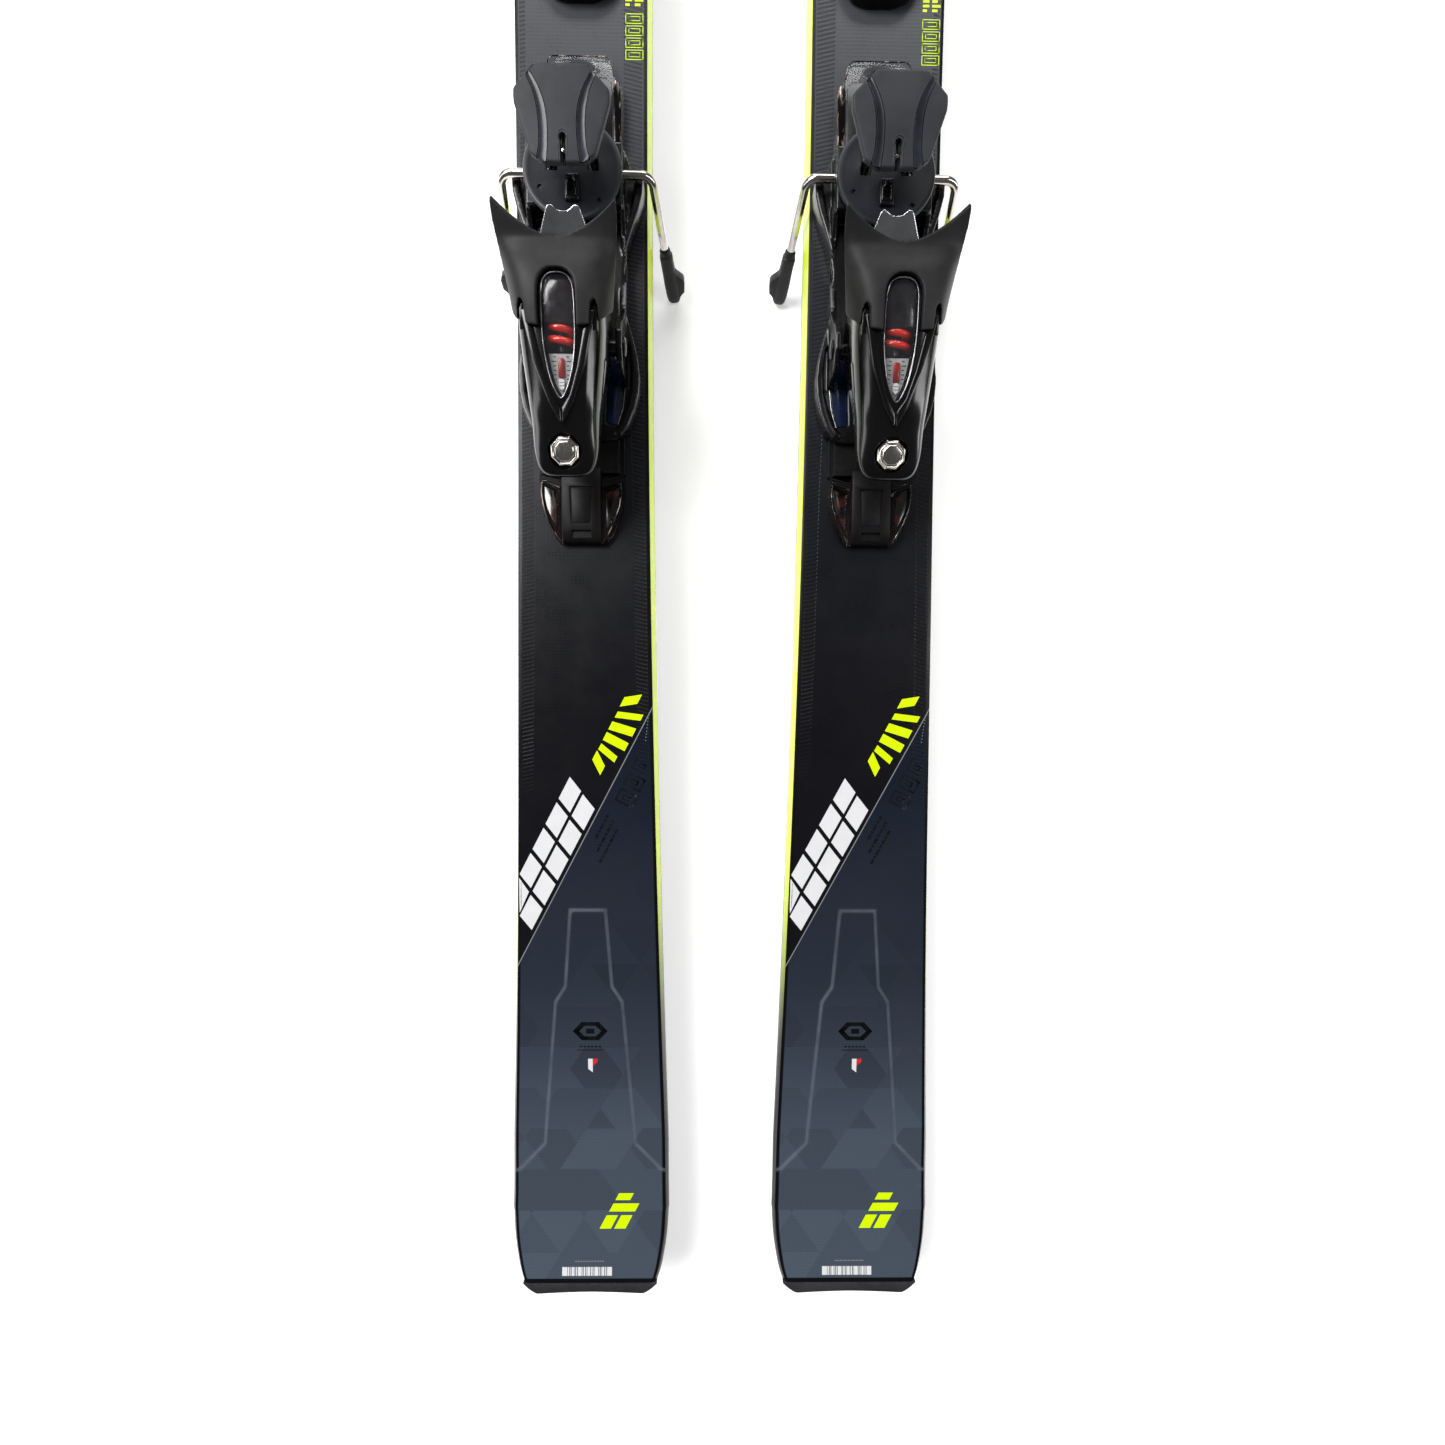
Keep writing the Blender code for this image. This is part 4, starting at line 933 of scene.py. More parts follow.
def print_marks():
    # White row along the diagonal: two courses of plain leaning blocks.
    kept = []
    for k in range(5):
        s0 = -165.0 + 19.6 * k
        for d0, d1, shift in ((-27.4, -16.4, 3.2), (-14.4, -2.8, -3.4)):
            shape = quad(d0, d1, s0 + shift, s0 + shift + 16.6, -5.2)
            if min(p[0] for p in shape) < -46.3:
                shape = [(max(p[0], -46.3 + 0.06 * i), p[1]) for i, p in enumerate(shape)]
            if max(p[0] for p in shape) - min(p[0] for p in shape) > 3:
                kept.append(shape)
    marks("print_white_bars", "silver", kept)
    # Neon group: slanted bars of falling length between two short end bars.
    neon = [
        quad(-19.4, -10.0, -9.5, -2.5, 7.0), quad(-19.4, -10.0, -49.5, -42.5, -7.0),
        quad(-19.0, -3.0, -17.5, -13.0, 6.0), quad(-19.2, -3.0, -26.5, -20.5, 3.0), quad(-19.2, -3.0, -34.5, -28.5, 0.0), quad(-19.0, -5.5, -41.5, -37.0, -3.0),
    ]
    marks("print_neon_bars", "neon", neon)
    # Neon mark near the tail: a stack of three leaning bars.
    stack = [
        [(6.5, 51.0), (14.5, 51.0), (19.5, 60.5), (11.5, 60.5)], [(16.8, 51.0), (24.8, 51.0), (29.8, 60.5), (21.8, 60.5)],
        [(13.2, 63.2), (31.5, 63.2), (34.6, 69.0), (16.3, 69.0)], [(17.6, 71.4), (28.0, 71.4), (30.6, 76.4), (20.2, 76.4)],
    ]
    marks("print_neon_stack", "neon", [[(x, y - 4.0) for x, y in shape] for shape in stack])
    # Dark marks in the slate half: hollow leaning blocks and short dashes.
    dark = []
    for k in range(3):
        s = -67.0 + k * 12.2
        dark += frame_of(quad(6.0, 19.5 - k * 0.6, s, s + 9.6), 1.3)
        dark += frame_of(quad(9.6, 15.6 - k * 0.6, s + 3.1, s + 6.5), 0.8)
    for d, s0, s1 in ((6.0, -96, -78), (11.0, -104, -80), (16.0, -110, -84)):
        s = s0
        step = 0
        while s < s1:
            long = (3.4, 1.6, 4.6, 2.4)[step % 4]
            dark.append(quad(d, d + 1.7, s, min(s + long, s1)))
            s += long + 0.9
            step += 1
    dark = [shape for shape in dark if max(p[0] for p in shape) < 45.2]
    marks("print_navy_blocks", "navy_ink", dark)
    dots = [[(x, y), (x + 0.5, y), (x + 0.5, y + 0.7), (x, y + 0.7)] for x, y in [(41.4 - 0.25 * i, 411.5 - 2.1 * i) for i in range(9)]]
    marks("print_grey_dots", "grey_ink", dots)
    # Small black emblem: a hexagon ring with a bar under it.
    ring = []
    for k in range(6):
        a, b = math.tau * k / 6, math.tau * (k + 1) / 6
        ring.append([
            (0.8 + 12.0 * math.cos(a), 195 + 7.6 * math.sin(a)), (0.8 + 12.0 * math.cos(b), 195 + 7.6 * math.sin(b)),
            (0.8 + 7.6 * math.cos(b), 195 + 4.4 * math.sin(b)), (0.8 + 7.6 * math.cos(a), 195 + 4.4 * math.sin(a)),
        ])
    ring += [[(-2.0, 193.2), (3.6, 193.2), (3.6, 196.8), (-2.0, 196.8)], [(-8.4, 180.9), (9.6, 180.9), (9.6, 181.5), (-8.4, 181.5)]]
    ring += [[(-6.5 + 2.6 * i, 183.2), (-4.9 + 2.6 * i, 183.2), (-4.9 + 2.6 * i, 184.3), (-6.5 + 2.6 * i, 184.3)] for i in range(6)]
    marks("print_emblem", "black_ink", [[(x, y - 3.0) for x, y in shape] for shape in ring])
    marks("print_patch_white", "silver", [[(-0.9, 164.4), (2.3, 161.8), (2.3, 171.8), (-0.9, 171.8)]])
    marks("print_patch_red", "red_ink", [[(2.5, 166.8), (5.4, 169.2), (5.9, 171.8), (2.5, 171.8)]])
    # Strip of bars across the tail.
    x, stripes, widths = -19.6, [], (3.6, 1.1, 0.5, 1.7, 0.5, 0.8, 2.6, 0.5, 1.2, 0.6, 2.0, 1.1, 0.5, 2.7, 0.6, 0.5, 1.6, 0.9, 3.4)
    for i, width in enumerate(widths):
        stripes.append([(x, 14.2), (x + width, 14.2), (x + width, 20.2), (x, 20.2)])
        x += width + (0.55 if i % 3 else 0.35)
    marks("print_bar_strip", "silver", stripes)
    dashes = [[(-10.5 + 1.9 * i, 23.8), (-9.2 + 1.9 * i, 23.8), (-9.2 + 1.9 * i, 24.5), (-10.5 + 1.9 * i, 24.5)] for i in range(11)]
    marks("print_grey_dashes", "grey_ink", dashes)
    # Neon outlined blocks beside the toe, with a column of ticks.
    blocks = []
    for k in range(4):
        y = 818.8 + k * 7.0
        blocks += frame_of([(27.4, y), (38.4, y), (38.4, y + 5.9), (27.4, y + 5.9)], 0.42)
        blocks += frame_of([(29.3, y + 1.6), (36.5, y + 1.6), (36.5, y + 4.3), (29.3, y + 4.3)], 0.36)
    marks("print_neon_frames", "neon", blocks)
    ticks = []
    for k in range(7):
        y = 850.0 + k * 2.7
        ticks.append([(27.4, y), (31.4 if k % 3 else 30.0, y), (31.4 if k % 3 else 30.0, y + 1.5), (27.4, y + 1.5)])
        if k < 6:
            ticks.append([(33.2, y), (38.4 if k % 2 else 36.6, y), (38.4 if k % 2 else 36.6, y + 1.5), (33.2, y + 1.5)])
    marks("print_neon_ticks", "neon", ticks)


# ---------------------------------------------------------------- heel track
def build_track():
    section = [(-27, 0.3), (27, 0.3), (27, 3.6), (26.6, 4), (24, 4), (24, 7.8), (23.6, 8.2), (9.4, 8.2), (9, 7.8), (9, 6.6), (-9, 6.6), (-9, 7.8),
               (-9.4, 8.2), (-23.6, 8.2), (-24, 7.8), (-24, 4), (-26.6, 4), (-27, 3.6)]
    rail = mesh_object("track", prism([bind(x, 572, h) for x, h in section], Vector((0, 0.196, 0))), "track")
    # Latch teeth in the channel between the rails.
    teeth = []
    for k in range(24):
        y = 580 + k * 7.6
        teeth.append(mesh_object("tooth", block((-7.6, y, 4.6), (7.6, y + 3.4, 9.0)), None))
    cut(rail, *teeth)
    # Raised spine with its hollow panels.
    profile = [(575, 2.6), (575, 9.6), (566, 11.0), (552, 11.0), (536, 10.4), (529.5, 8.0), (528, 5.0), (528, 2.6)]
    spine = mesh_object("spine", prism([bind(-12.4, y, h) for y, h in profile], Vector((0.0248, 0, 0))), "track")
    rounded(spine, 0.9, 2)
    panel = [(-7.2, 563.0), (7.2, 563.0), (6.4, 539.5), (-6.4, 539.5)]
    cut(spine, mesh_object("panel", plan(panel, 10.0, 14), None), mesh_object("slot", block((-6.2, 531.5, 8.4), (6.2, 536.0, 14)), None))
    floor = mesh_object("panel_floor", plan([(-6.4, 562), (6.4, 562), (5.7, 540.5), (-5.7, 540.5)], 9.4, 10.25), "track")
    rounded(floor, 0.3, 2)
    join(rail, spine, floor, angle=30)
    # Collar bands behind the housing, with three fine ribs each.
    ribs = []
    for sign in (1, -1):
        for k in range(3):
            y = 565.2 + 1.5 * k
            ribs.append(mesh_object("rib", prism([bind(sign * 13.2, y - 2.2, 7.6), bind(sign * 26.4, y + 1.4, 7.6), bind(sign * 26.4, y + 2.3, 7.6), bind(sign * 13.2, y - 1.3, 7.6)],
                                                  Vector((0, 0, 0.0022 - 0.0003 * k))), "track"))
    copies(rail, "heel_track", "ski", ["heel_track"])
    for i, rib in enumerate(ribs):
        copies(rib, f"track_rib_{i}", "ski")
    # Clear wings either side of the spine: an outer shell over a near-black insert with painted reddish reflection
    # streaks.
    wing_half = [(13.2, 563.0), (26.6, 568.5), (27.4, 560.0), (26.2, 551.0), (23.0, 541.5), (18.6, 532.5), (14.6, 528.0), (13.2, 527.6)]
    for sign, label in ((1, "p"), (-1, "n")):
        outline = [(x * sign, y) for x, y in wing_half]
        shell = mesh_object("wing", plan(outline, 0.5, 9.4), "smoked")
        for v in shell.data.vertices:
            p = v.co
            h = (p.z - PLATFORM_Z) * 1000
            if h > 5:
                y = (p.y - TAIL_Y) * 1000 + SET_BACK
                p.x += -sign * 0.0016
                p.z += (-0.0030 * smooth((545 - y) / 18))
        rounded(shell, 0.9, 3)
        hollow = mesh_object("hollow", plan([(15.2 * sign, 560.6), (24.2 * sign, 564.6), (24.4 * sign, 557.0), (22.6 * sign, 549.0), (15.4 * sign, 535.5)], 6.6, 14), None)
        cut(shell, hollow)
        if label == "p":
            copies(shell, "heel_track_rear_cap_p", "ski", ["heel_track_rear_cap"])
        else:
            copies(shell, "heel_track_rear_cap_n", "ski")
        # A thin bead along each wing's rim, painted pale as a highlight line.
        rim = [bind((x - 1.8) * sign, y, 9.2 - 3.0 * smooth((545 - y) / 18)) for x, y in ((15.4, 562.6), (26.4, 566.6), (27.0, 560.0), (25.8, 551.4), (22.6, 542.0), (18.2, 533.4), (15.4, 529.6))]
        bead = mesh_object("bead", sweep(fillet(rim, 1.5, 3), 0.28, 8), "clear_painted_highlight", 80)
        copies(bead, f"rear_wing_lip_{label}", "ski")
        insert = mesh_object("insert", plan([(15.6 * sign, 559.9), (23.8 * sign, 563.8), (24.0 * sign, 557.0), (22.0 * sign, 549.2), (15.8 * sign, 537.0)], 6.8, 7.5), "insert")
        rounded(insert, 0.3, 2)
        copies(insert, f"track_insert_{label}", "ski")
    # Clear front cap with its oval ring, and down each side a strip painted pale as a highlight.
    half = [(26.9, 769.4), (26.9, 790.0), (26.8, 804.6), (22.6, 809.8), (20.4, 819.4), (17.8, 822.2), (7.0, 823.0)]
    cap = mesh_object("front_cap", plan(mirrored(half), 0.5, 7.6), "clear")
    for v in cap.data.vertices:
        h = (v.co.z - PLATFORM_Z) * 1000
        y = (v.co.y - TAIL_Y) * 1000 + SET_BACK
        if h > 4:
            v.co.x *= 0.96
            v.co.z -= 0.0022 * smooth((y - 804) / 16)
    rounded(cap, 1.1, 3)
    ring = [(9.6 * math.cos(a), 814.6 + 4.4 * math.sin(a)) for a in [i * math.tau / 36 for i in range(36)]]
    cut(cap, mesh_object("ring", plan(ring, -2, 20), None))
    copies(cap, "heel_track_front_cap", "ski", ["heel_track_front_cap"])
    lip = []
    for k in range(37):
        a = k * math.tau / 36
        lip.append(bind(10.6 * math.cos(a), 814.6 + 5.3 * math.sin(a), 6.6))
    hoop = mesh_object("hoop", sweep(lip[:-1] + [lip[0]], 0.75, 8, False), "clear", 80)
    copies(hoop, "front_cap_ring", "ski")
    # A thin bead round the cap's front edge, painted pale as a highlight line.
    lip = [bind(x, y, 6.9) for x, y in ((25.4, 803.0), (21.4, 808.8), (19.2, 818.4), (16.6, 821.0))]
    lip += [bind(-x, y, 6.9) for x, y in ((16.6, 821.0), (19.2, 818.4), (21.4, 808.8), (25.4, 803.0))]
    bead = mesh_object("bead", sweep(fillet(lip, 2, 3), 0.35, 8), "clear_painted_highlight", 80)
    copies(bead, "front_cap_highlight_line", "ski")
    tongue = mesh_object("tongue", plan(mirrored([(20.0, 768.9), (20.0, 804.5), (16.5, 808.0), (0.0, 808.2)]), 7.75, 8.5), "carriage")
    rounded(tongue, 0.5, 2)
    copies(tongue, "front_cap_tongue", "ski")
    for sign, label in ((1, "p"), (-1, "n")):
        shape = [(20.8 * sign, 770.4), (25.6 * sign, 770.4), (25.8 * sign, 800.0), (24.6 * sign, 805.6), (21.6 * sign, 807.4), (20.8 * sign, 803.0)]
        bar = mesh_object("strip", plan(shape, 7.0, 8.5), "clear_painted_highlight")
        rounded(bar, 0.8, 4)
        copies(bar, f"front_cap_strip_{label}", "ski")


def insert_paint():
    p = Paint("wing_insert_painted_reflection", srgb(46, 18, 14), 0.18, Coat_Weight=0.8, Coat_Roughness=0.05)
    split = p.node("ShaderNodeSeparateXYZ")
    p.feed(split.inputs[0], p.place)
    # Near-black insert; the reddish streaks are painted reflections.
    reflection_streak = p.noise(90.0, 3.0, 0.6, stretch=(0.3, 1.6, 1))
    p.colour(p.mix(p.linear(reflection_streak, 0.5, 0.68), srgb(9, 7, 9), srgb(66, 30, 22)))
    p.rough(p.linear(p.noise(150.0, 3.0), 0.3, 0.7, 0.1, 0.3))
    return p


def painted_highlight_clear_paint():
    # Clear plastic with pale streaks painted in as highlights, for the beads and strips that stand for lit edges.
    p = Paint("clear_plastic_painted_highlight", (0.42, 0.41, 0.42), 0.16, 0.5)
    p.colour(p.mix(p.linear(p.noise(150.0, 3.0, stretch=(1.8, 0.5, 1)), 0.52, 0.66), srgb(16, 12, 12), srgb(190, 172, 160)))
    p.rough(p.linear(p.noise(100.0, 3.0), 0.3, 0.7, 0.05, 0.16))
    return p


P["insert"] = insert_paint()
P["clear_painted_highlight"] = painted_highlight_clear_paint()


# ---------------------------------------------------------------- carriage, disc, hub
CARRIAGE_HALF = [
    (0.0, 590.6), (20.0, 590.8), (25.6, 592.2), (30.6, 598.5), (34.6, 608.5), (36.9, 619.0), (37.4, 629.0), (36.2, 640.0), (33.6, 651.0), (30.6, 661.0),
    (28.4, 672.0), (27.6, 684.0), (28.0, 695.0), (29.6, 705.0), (33.0, 716.0), (36.8, 727.0), (39.2, 737.0), (39.8, 745.0), (37.0, 748.4),
    (32.6, 751.4), (31.2, 757.0), (28.6, 762.6), (24.0, 766.6), (10.0, 768.4), (0.0, 768.6),
]


def build_carriage():
    outline = mirrored([(x, y) for x, y in CARRIAGE_HALF if x > 0])
    body = mesh_object("carriage", plan(outline, 0.9, 13.5), "carriage")
    # Raised wall round the rear bulges, hollow inside.
    wall = [(25.6, 592.2), (30.6, 598.5), (34.6, 608.5), (36.9, 619.0), (37.4, 629.0), (36.2, 640.0), (33.6, 651.0), (30.6, 661.0), (28.6, 670.0), (26.6, 668.0), (29.6, 655.0), (31.8, 645.0), (33.0, 633.0), (32.4, 620.0), (30.0, 609.5), (26.0, 600.0), (22.0, 595.0)]
    parts = []
    for sign in (1, -1):
        parts.append(mesh_object("wall", plan([(x * sign, y) for x, y in wall], 9.0, 17.0), None))
        blade = [(29.6, 705.0), (33.0, 716.0), (36.8, 727.0), (39.2, 737.0), (39.8, 745.0), (37.0, 748.4), (35.4, 744.0), (34.4, 735.0), (31.6, 724.0), (27.6, 712.0), (27.6, 702.0)]
        parts.append(mesh_object("blade", plan([(x * sign, y) for x, y in blade], 9.0, 16.6), None))
        ear = [(622, 10), (625, 27), (629, 37), (636, 41.5), (645, 41.5), (652, 37), (658, 27), (668, 17), (690, 12), (700, 10)]
        parts.append(mesh_object("ear", prism([bind(25.9 * sign, y, h) for y, h in ear], Vector((0.0036 * sign, 0, 0))), None))
        low_x, high_x = sorted((19.5 * sign, 28.5 * sign))
        parts.append(mesh_object("cheek", block((low_x, 722, 10), (high_x, 758, 28.1)), None))
        rib = [(700, 10), (700, 12), (712, 17), (722, 24), (730, 24), (730, 10)]
        parts.append(mesh_object("rib", prism([bind(26.6 * sign, y, h) for y, h in rib], Vector((0.0028 * sign, 0, 0))), None))
    parts.append(mesh_object("hub", block((-7, 714, 10), (7, 734, 28.1)), None))
    join(body, *parts)
    cutters = [
        mesh_object("channel", block((-27.5, 560, -5), (27.5, 800, 8.9)), None),
        mesh_object("spine_room", block((-13.4, 560, -5), (13.4, 634, 11.9)), None),
        mesh_object("pin", rod(bind(-40, *HEEL_PIVOT), bind(40, *HEEL_PIVOT), 4.3), None),
        mesh_object("wire", rod(bind(-40, *BRAKE_AXIS), bind(40, *BRAKE_AXIS), 3.2), None),
    ]
    for sign in (1, -1):
        pocket = [(16.5 * sign, 601.0), (23.4 * sign, 600.0), (26.6 * sign, 610.0), (28.0 * sign, 622.0), (28.0 * sign, 634.0), (27.4 * sign, 645.0), (24.4 * sign, 645.0), (18.0 * sign, 640.0)]
        cutters.append(mesh_object("pocket", plan(pocket, 10.6, 30), None))
    cutters.append(mesh_object("well", block((-18, 672, 11.4), (18, 708, 30)), None))
    cut(body, *cutters)
    moulded(body, 0.7, 3, 0.22, 50)
    copies(body, "heel_carriage", "heel", ["heel_carriage"])
    for sign, label in ((1, "p"), (-1, "n")):
        pocket = [(16.8 * sign, 601.4), (23.2 * sign, 600.5), (26.2 * sign, 610.2), (27.6 * sign, 622.0), (27.6 * sign, 634.0), (27.1 * sign, 644.6), (24.5 * sign, 644.6), (18.3 * sign, 639.6)]
        lining = mesh_object("lining", plan(pocket, 11.0, 12.0), "blue")
        rounded(lining, 0.4, 3)
        # A pale metal bead along the pocket's rim, standing in for its edge highlight.
        line = [bind(27.9 * sign, 645.0, 13.4), bind(28.4 * sign, 634.0, 13.4), bind(28.4 * sign, 622.0, 13.4), bind(27.0 * sign, 610.0, 13.4), bind(23.8 * sign, 600.2, 13.4)]
        bead = mesh_object("bead", sweep(fillet(line, 12, 5), 0.42, 8), "edge_highlight_metal", 80)
        copies(bead, f"carriage_bead_{label}", "heel")
        copies(lining, f"carriage_lining_{label}", "heel")
    pin = mesh_object(
        "pin", lathe(bind(-31.0, *HEEL_PIVOT), Vector((1, 0, 0)), [(0, 0), (3.4, 0), (3.9, 0.5), (3.9, 61.5), (3.4, 62.0), (0, 62.0)], 32), "pin", 40
    )
    copies(pin, "heel_pivot_pin", "heel", ["heel_pivot_pin"])
    for sign, label in ((1, "p"), (-1, "n")):
        cover = mesh_object("cover", lathe(bind(29.2 * sign, *HEEL_PIVOT), Vector((sign, 0, 0)), [(0, 0.6), (5.6, 0.6), (5.6, 1.2), (4.8, 1.9), (0, 2.1)], 32), "carriage", 40)
        copies(cover, f"pivot_cover_{label}", "heel")
    # Brake plate: a dished disc, its front cut away for the pedal's legs.
    centre = bind(0, DISC_CENTRE, 0)
    profile = [(0, 28.5), (26.5, 28.5), (28.4, 29.2), (29.0, 30.4), (29.0, 31.8), (28.4, 32.7), (27.2, 33.0), (25.6, 32.75), (23.0, 32.4), (12.0, 32.0), (0, 31.9)]
    disc = mesh_object("disc", lathe(centre, Vector((0, 0, 1)), profile, 96), "disc", 30)
    slots = [mesh_object("slot", block((8.8 if sign > 0 else -15.4, 738.5, 20), (15.4 if sign > 0 else -8.8, 790, 50)), None) for sign in (1, -1)]
    for x, y in ((15.5, 722.0), (-19.0, 729.0)):
        slots.append(mesh_object("hole", rod(bind(x, y, 31.2), bind(x, y, 40), 1.5, 20), None))
    cut(disc, *slots, angle=30)
    copies(disc, "brake_plate", "heel", ["brake_plate"])
    # Latch block in the middle of the plate.
    latch = mesh_object("latch", block((-4.4, 720.5, 31.5), (4.4, 735.8, 35.4)), "carriage")
    rounded(latch, 1.3, 4)
    cut(latch, mesh_object("eye", block((-1.6, 724.5, 34.0), (1.6, 733.0, 40)), None))
    rounded(latch, 0.25, 2, 40)
    copies(latch, "brake_latch", "heel")
    arch = [bind(-2.6, 723.0, 34.6), bind(-2.6, 730.0, 36.2), bind(0.0, 734.0, 37.0), bind(2.6, 730.0, 36.2), bind(2.6, 723.0, 34.6)]
    loop = mesh_object("loop", sweep(fillet(arch, 2.4, 6), 0.8, 10), "gloss", 80)
    copies(loop, "brake_latch_loop", "heel")


# ---------------------------------------------------------------- brake
def pedal_frame():
    tilt = math.radians(PEDAL_TILT)
    return bind(0, *PEDAL_CENTRE), Vector((1, 0, 0)), Vector((0, math.cos(tilt), math.sin(tilt))), Vector((0, -math.sin(tilt), math.cos(tilt)))


PEDAL_HALF = [(0.0, -23.6), (11.5, -23.2), (17.8, -19.2), (22.2, -6.4), (25.9, 5.0), (26.1, 8.5), (25.9, 12.0), (20.0, 17.8), (14.0, 23.5), (0.0, 23.7)]
STRIP_IN = [(-24.0, 9.6), (-21.6, 9.1), (-14.2, 8.3), (-6.2, 8.0), (1.6, 8.7), (9.6, 11.0), (18.9, 16.0), (22.8, 18.8)]
STRIP_OUT = [(-24.0, 14.8), (-19.8, 14.0), (-14.6, 12.8), (-6.9, 12.5), (1.0, 13.0), (8.9, 14.7), (17.7, 18.6), (22.8, 21.7)]


def build_brake():
    centre, side, along, up = pedal_frame()

    def on(x, s, lift):
        # The top is gently crowned across and along.
        crown = -1.1 * (abs(x) / 26) ** 2 - 0.7 * (abs(s) / 23.5) ** 2 if lift > 0 else 0.0
        return centre + (side * x + along * s + up * (lift + crown)) / 1000

    outline = PEDAL_HALF + [(-x, s) for x, s in PEDAL_HALF[-2:0:-1]]
    bm = prism([centre + (side * x + along * s - up * 3.0) / 1000 for x, s in outline], up * 0.006)
    pedal = mesh_object("pedal", bm, "pedal")
    rounded(pedal, 1.1, 4, 40)
    cutters = []
    for sign in (1, -1):
        inner, outer = [], []
        for i in range(25):
            s = -24.0 + 46.6 * i / 24
            inner.append((mixed(STRIP_IN, s) - 0.3, s))
            outer.append((mixed(STRIP_OUT, s) + 0.3, s))
        shape = [(x * sign, s) for x, s in inner + outer[::-1]]
        cutters.append(mesh_object("groove", prism([centre + (side * x + along * s + up * 0.9) / 1000 for x, s in shape], up * 0.004), None))
    slot = [(-1.5, -32), (1.5, -32), (1.5, -13.2), (2.1, -11.6), (1.6, -10.0), (0, -9.2), (-1.6, -10.0), (-2.1, -11.6), (-1.5, -13.2)]
    cutters.append(mesh_object("slot", prism([centre + (side * x + along * s - up * 9) / 1000 for x, s in slot], up * 0.018), None))
    cut(pedal, *cutters)
    # Crown: cut the mesh along and across, then bend the upper side.
    bm = bmesh.new()
    bm.from_mesh(pedal.data)
    for k in range(-22, 23, 2):
        bmesh.ops.bisect_plane(bm, geom=bm.verts[:] + bm.edges[:] + bm.faces[:], plane_co=centre + along * (k / 1000), plane_no=along)
    for k in range(-24, 25, 3):
        bmesh.ops.bisect_plane(bm, geom=bm.verts[:] + bm.edges[:] + bm.faces[:], plane_co=(k / 1000, 0, 0), plane_no=side)
    for v in bm.verts:
        rel = v.co - centre
        x, s = rel.x * 1000, rel.dot(along) * 1000
        v.co += up * (-1.1 * (abs(x) / 26) ** 2 - 0.7 * (abs(s) / 23.5) ** 2) / 1000 * smooth(rel.dot(up) * 1000 / 2.5)
    bm.to_mesh(pedal.data)
    bm.free()
    sharpen(pedal, 35)
    copies(pedal, "brake_pedal", "brake_pedal_moving", ["brake_pedal"])
    for sign, label in ((1, "p"), (-1, "n")):
        bm = bmesh.new()
        rows = []
        for i in range(33):
            s = -23.0 + 45.4 * i / 32
            a, b = mixed(STRIP_IN, s) + 0.05, mixed(STRIP_OUT, s) - 0.05
            # Stay inside the pedal's own outline.
            limit = 100.0
            for (x0, s0), (x1, s1) in zip(PEDAL_HALF, PEDAL_HALF[1:]):
                if min(s0, s1) - 1e-6 <= s <= max(s0, s1) + 1e-6 and abs(s1 - s0) > 0.5:
                    limit = min(limit, x0 + (x1 - x0) * (s - s0) / (s1 - s0) - 0.35)
            b = min(b, limit)
            a = min(a, b - 0.3)
            row = []
            for j in range(7):
                t = j / 6
                x = a + (b - a) * t
                dish = -0.9 * (1 - (2 * t - 1) ** 2)
                row.append(on(x * sign, s, 2.9 + dish * 0.3))
            for t in (1, 0):
                x = a + (b - a) * t
                row.append(centre + (side * x * sign + along * s + up * 0.95) / 1000)
            rows.append(row)
        strip = mesh_object("strip", loft(rows), "groove", 50)
        copies(strip, f"pedal_strip_{label}", "brake_pedal_moving")
    # Pin in the slot and a rim round it.
    pin = mesh_object("pin", lathe(centre + (along * -17.0 - up * 1.2) / 1000, up, [(0, -1.6), (1.35, -1.6), (1.35, 1.4), (0.9, 2.0), (0, 2.1)], 20), "chrome", 40)
    copies(pin, "pedal_pin", "brake_pedal_moving")
    rod_under = mesh_object("rod_under", sweep([centre + (along * -10.2 - up * 2.4) / 1000, centre + (along * -22.6 - up * 2.4) / 1000], 1.1, 12), "dark", 60)
    copies(rod_under, "pedal_slot_rod", "brake_pedal_moving")
    rim = [(-2.5, -22.4), (-2.5, -13.4), (-3.0, -11.2), (-2.2, -9.0), (0, -7.9), (2.2, -9.0), (3.0, -11.2), (2.5, -13.4), (2.5, -22.4)]
    bead = mesh_object("bead", sweep([on(x, s, 2.95) for x, s in rim], 0.32, 8), "groove", 80)
    copies(bead, "pedal_slot_rim", "brake_pedal_moving")

    def wire(sign):
        axis_y, axis_h = BRAKE_AXIS
        corners = [
            bind(2.2 * sign, *PEDAL_PIVOT), bind(12 * sign, *PEDAL_PIVOT), bind(12 * sign, axis_y + 2.2, axis_h + 8),
            bind(12 * sign, axis_y, axis_h), bind(45.2 * sign, axis_y, axis_h), bind(50.4 * sign, 724.2, -19.6),
        ]
        path = fillet(corners[:4], 6, 8)[:-1] + fillet(corners[2:], 7.5, 12)[1:]
        return mesh_object("wire", sweep(path, BRAKE_WIRE, 20), "wire", 80)

    both_arms(wire, "brake_arm_{}", "brake")

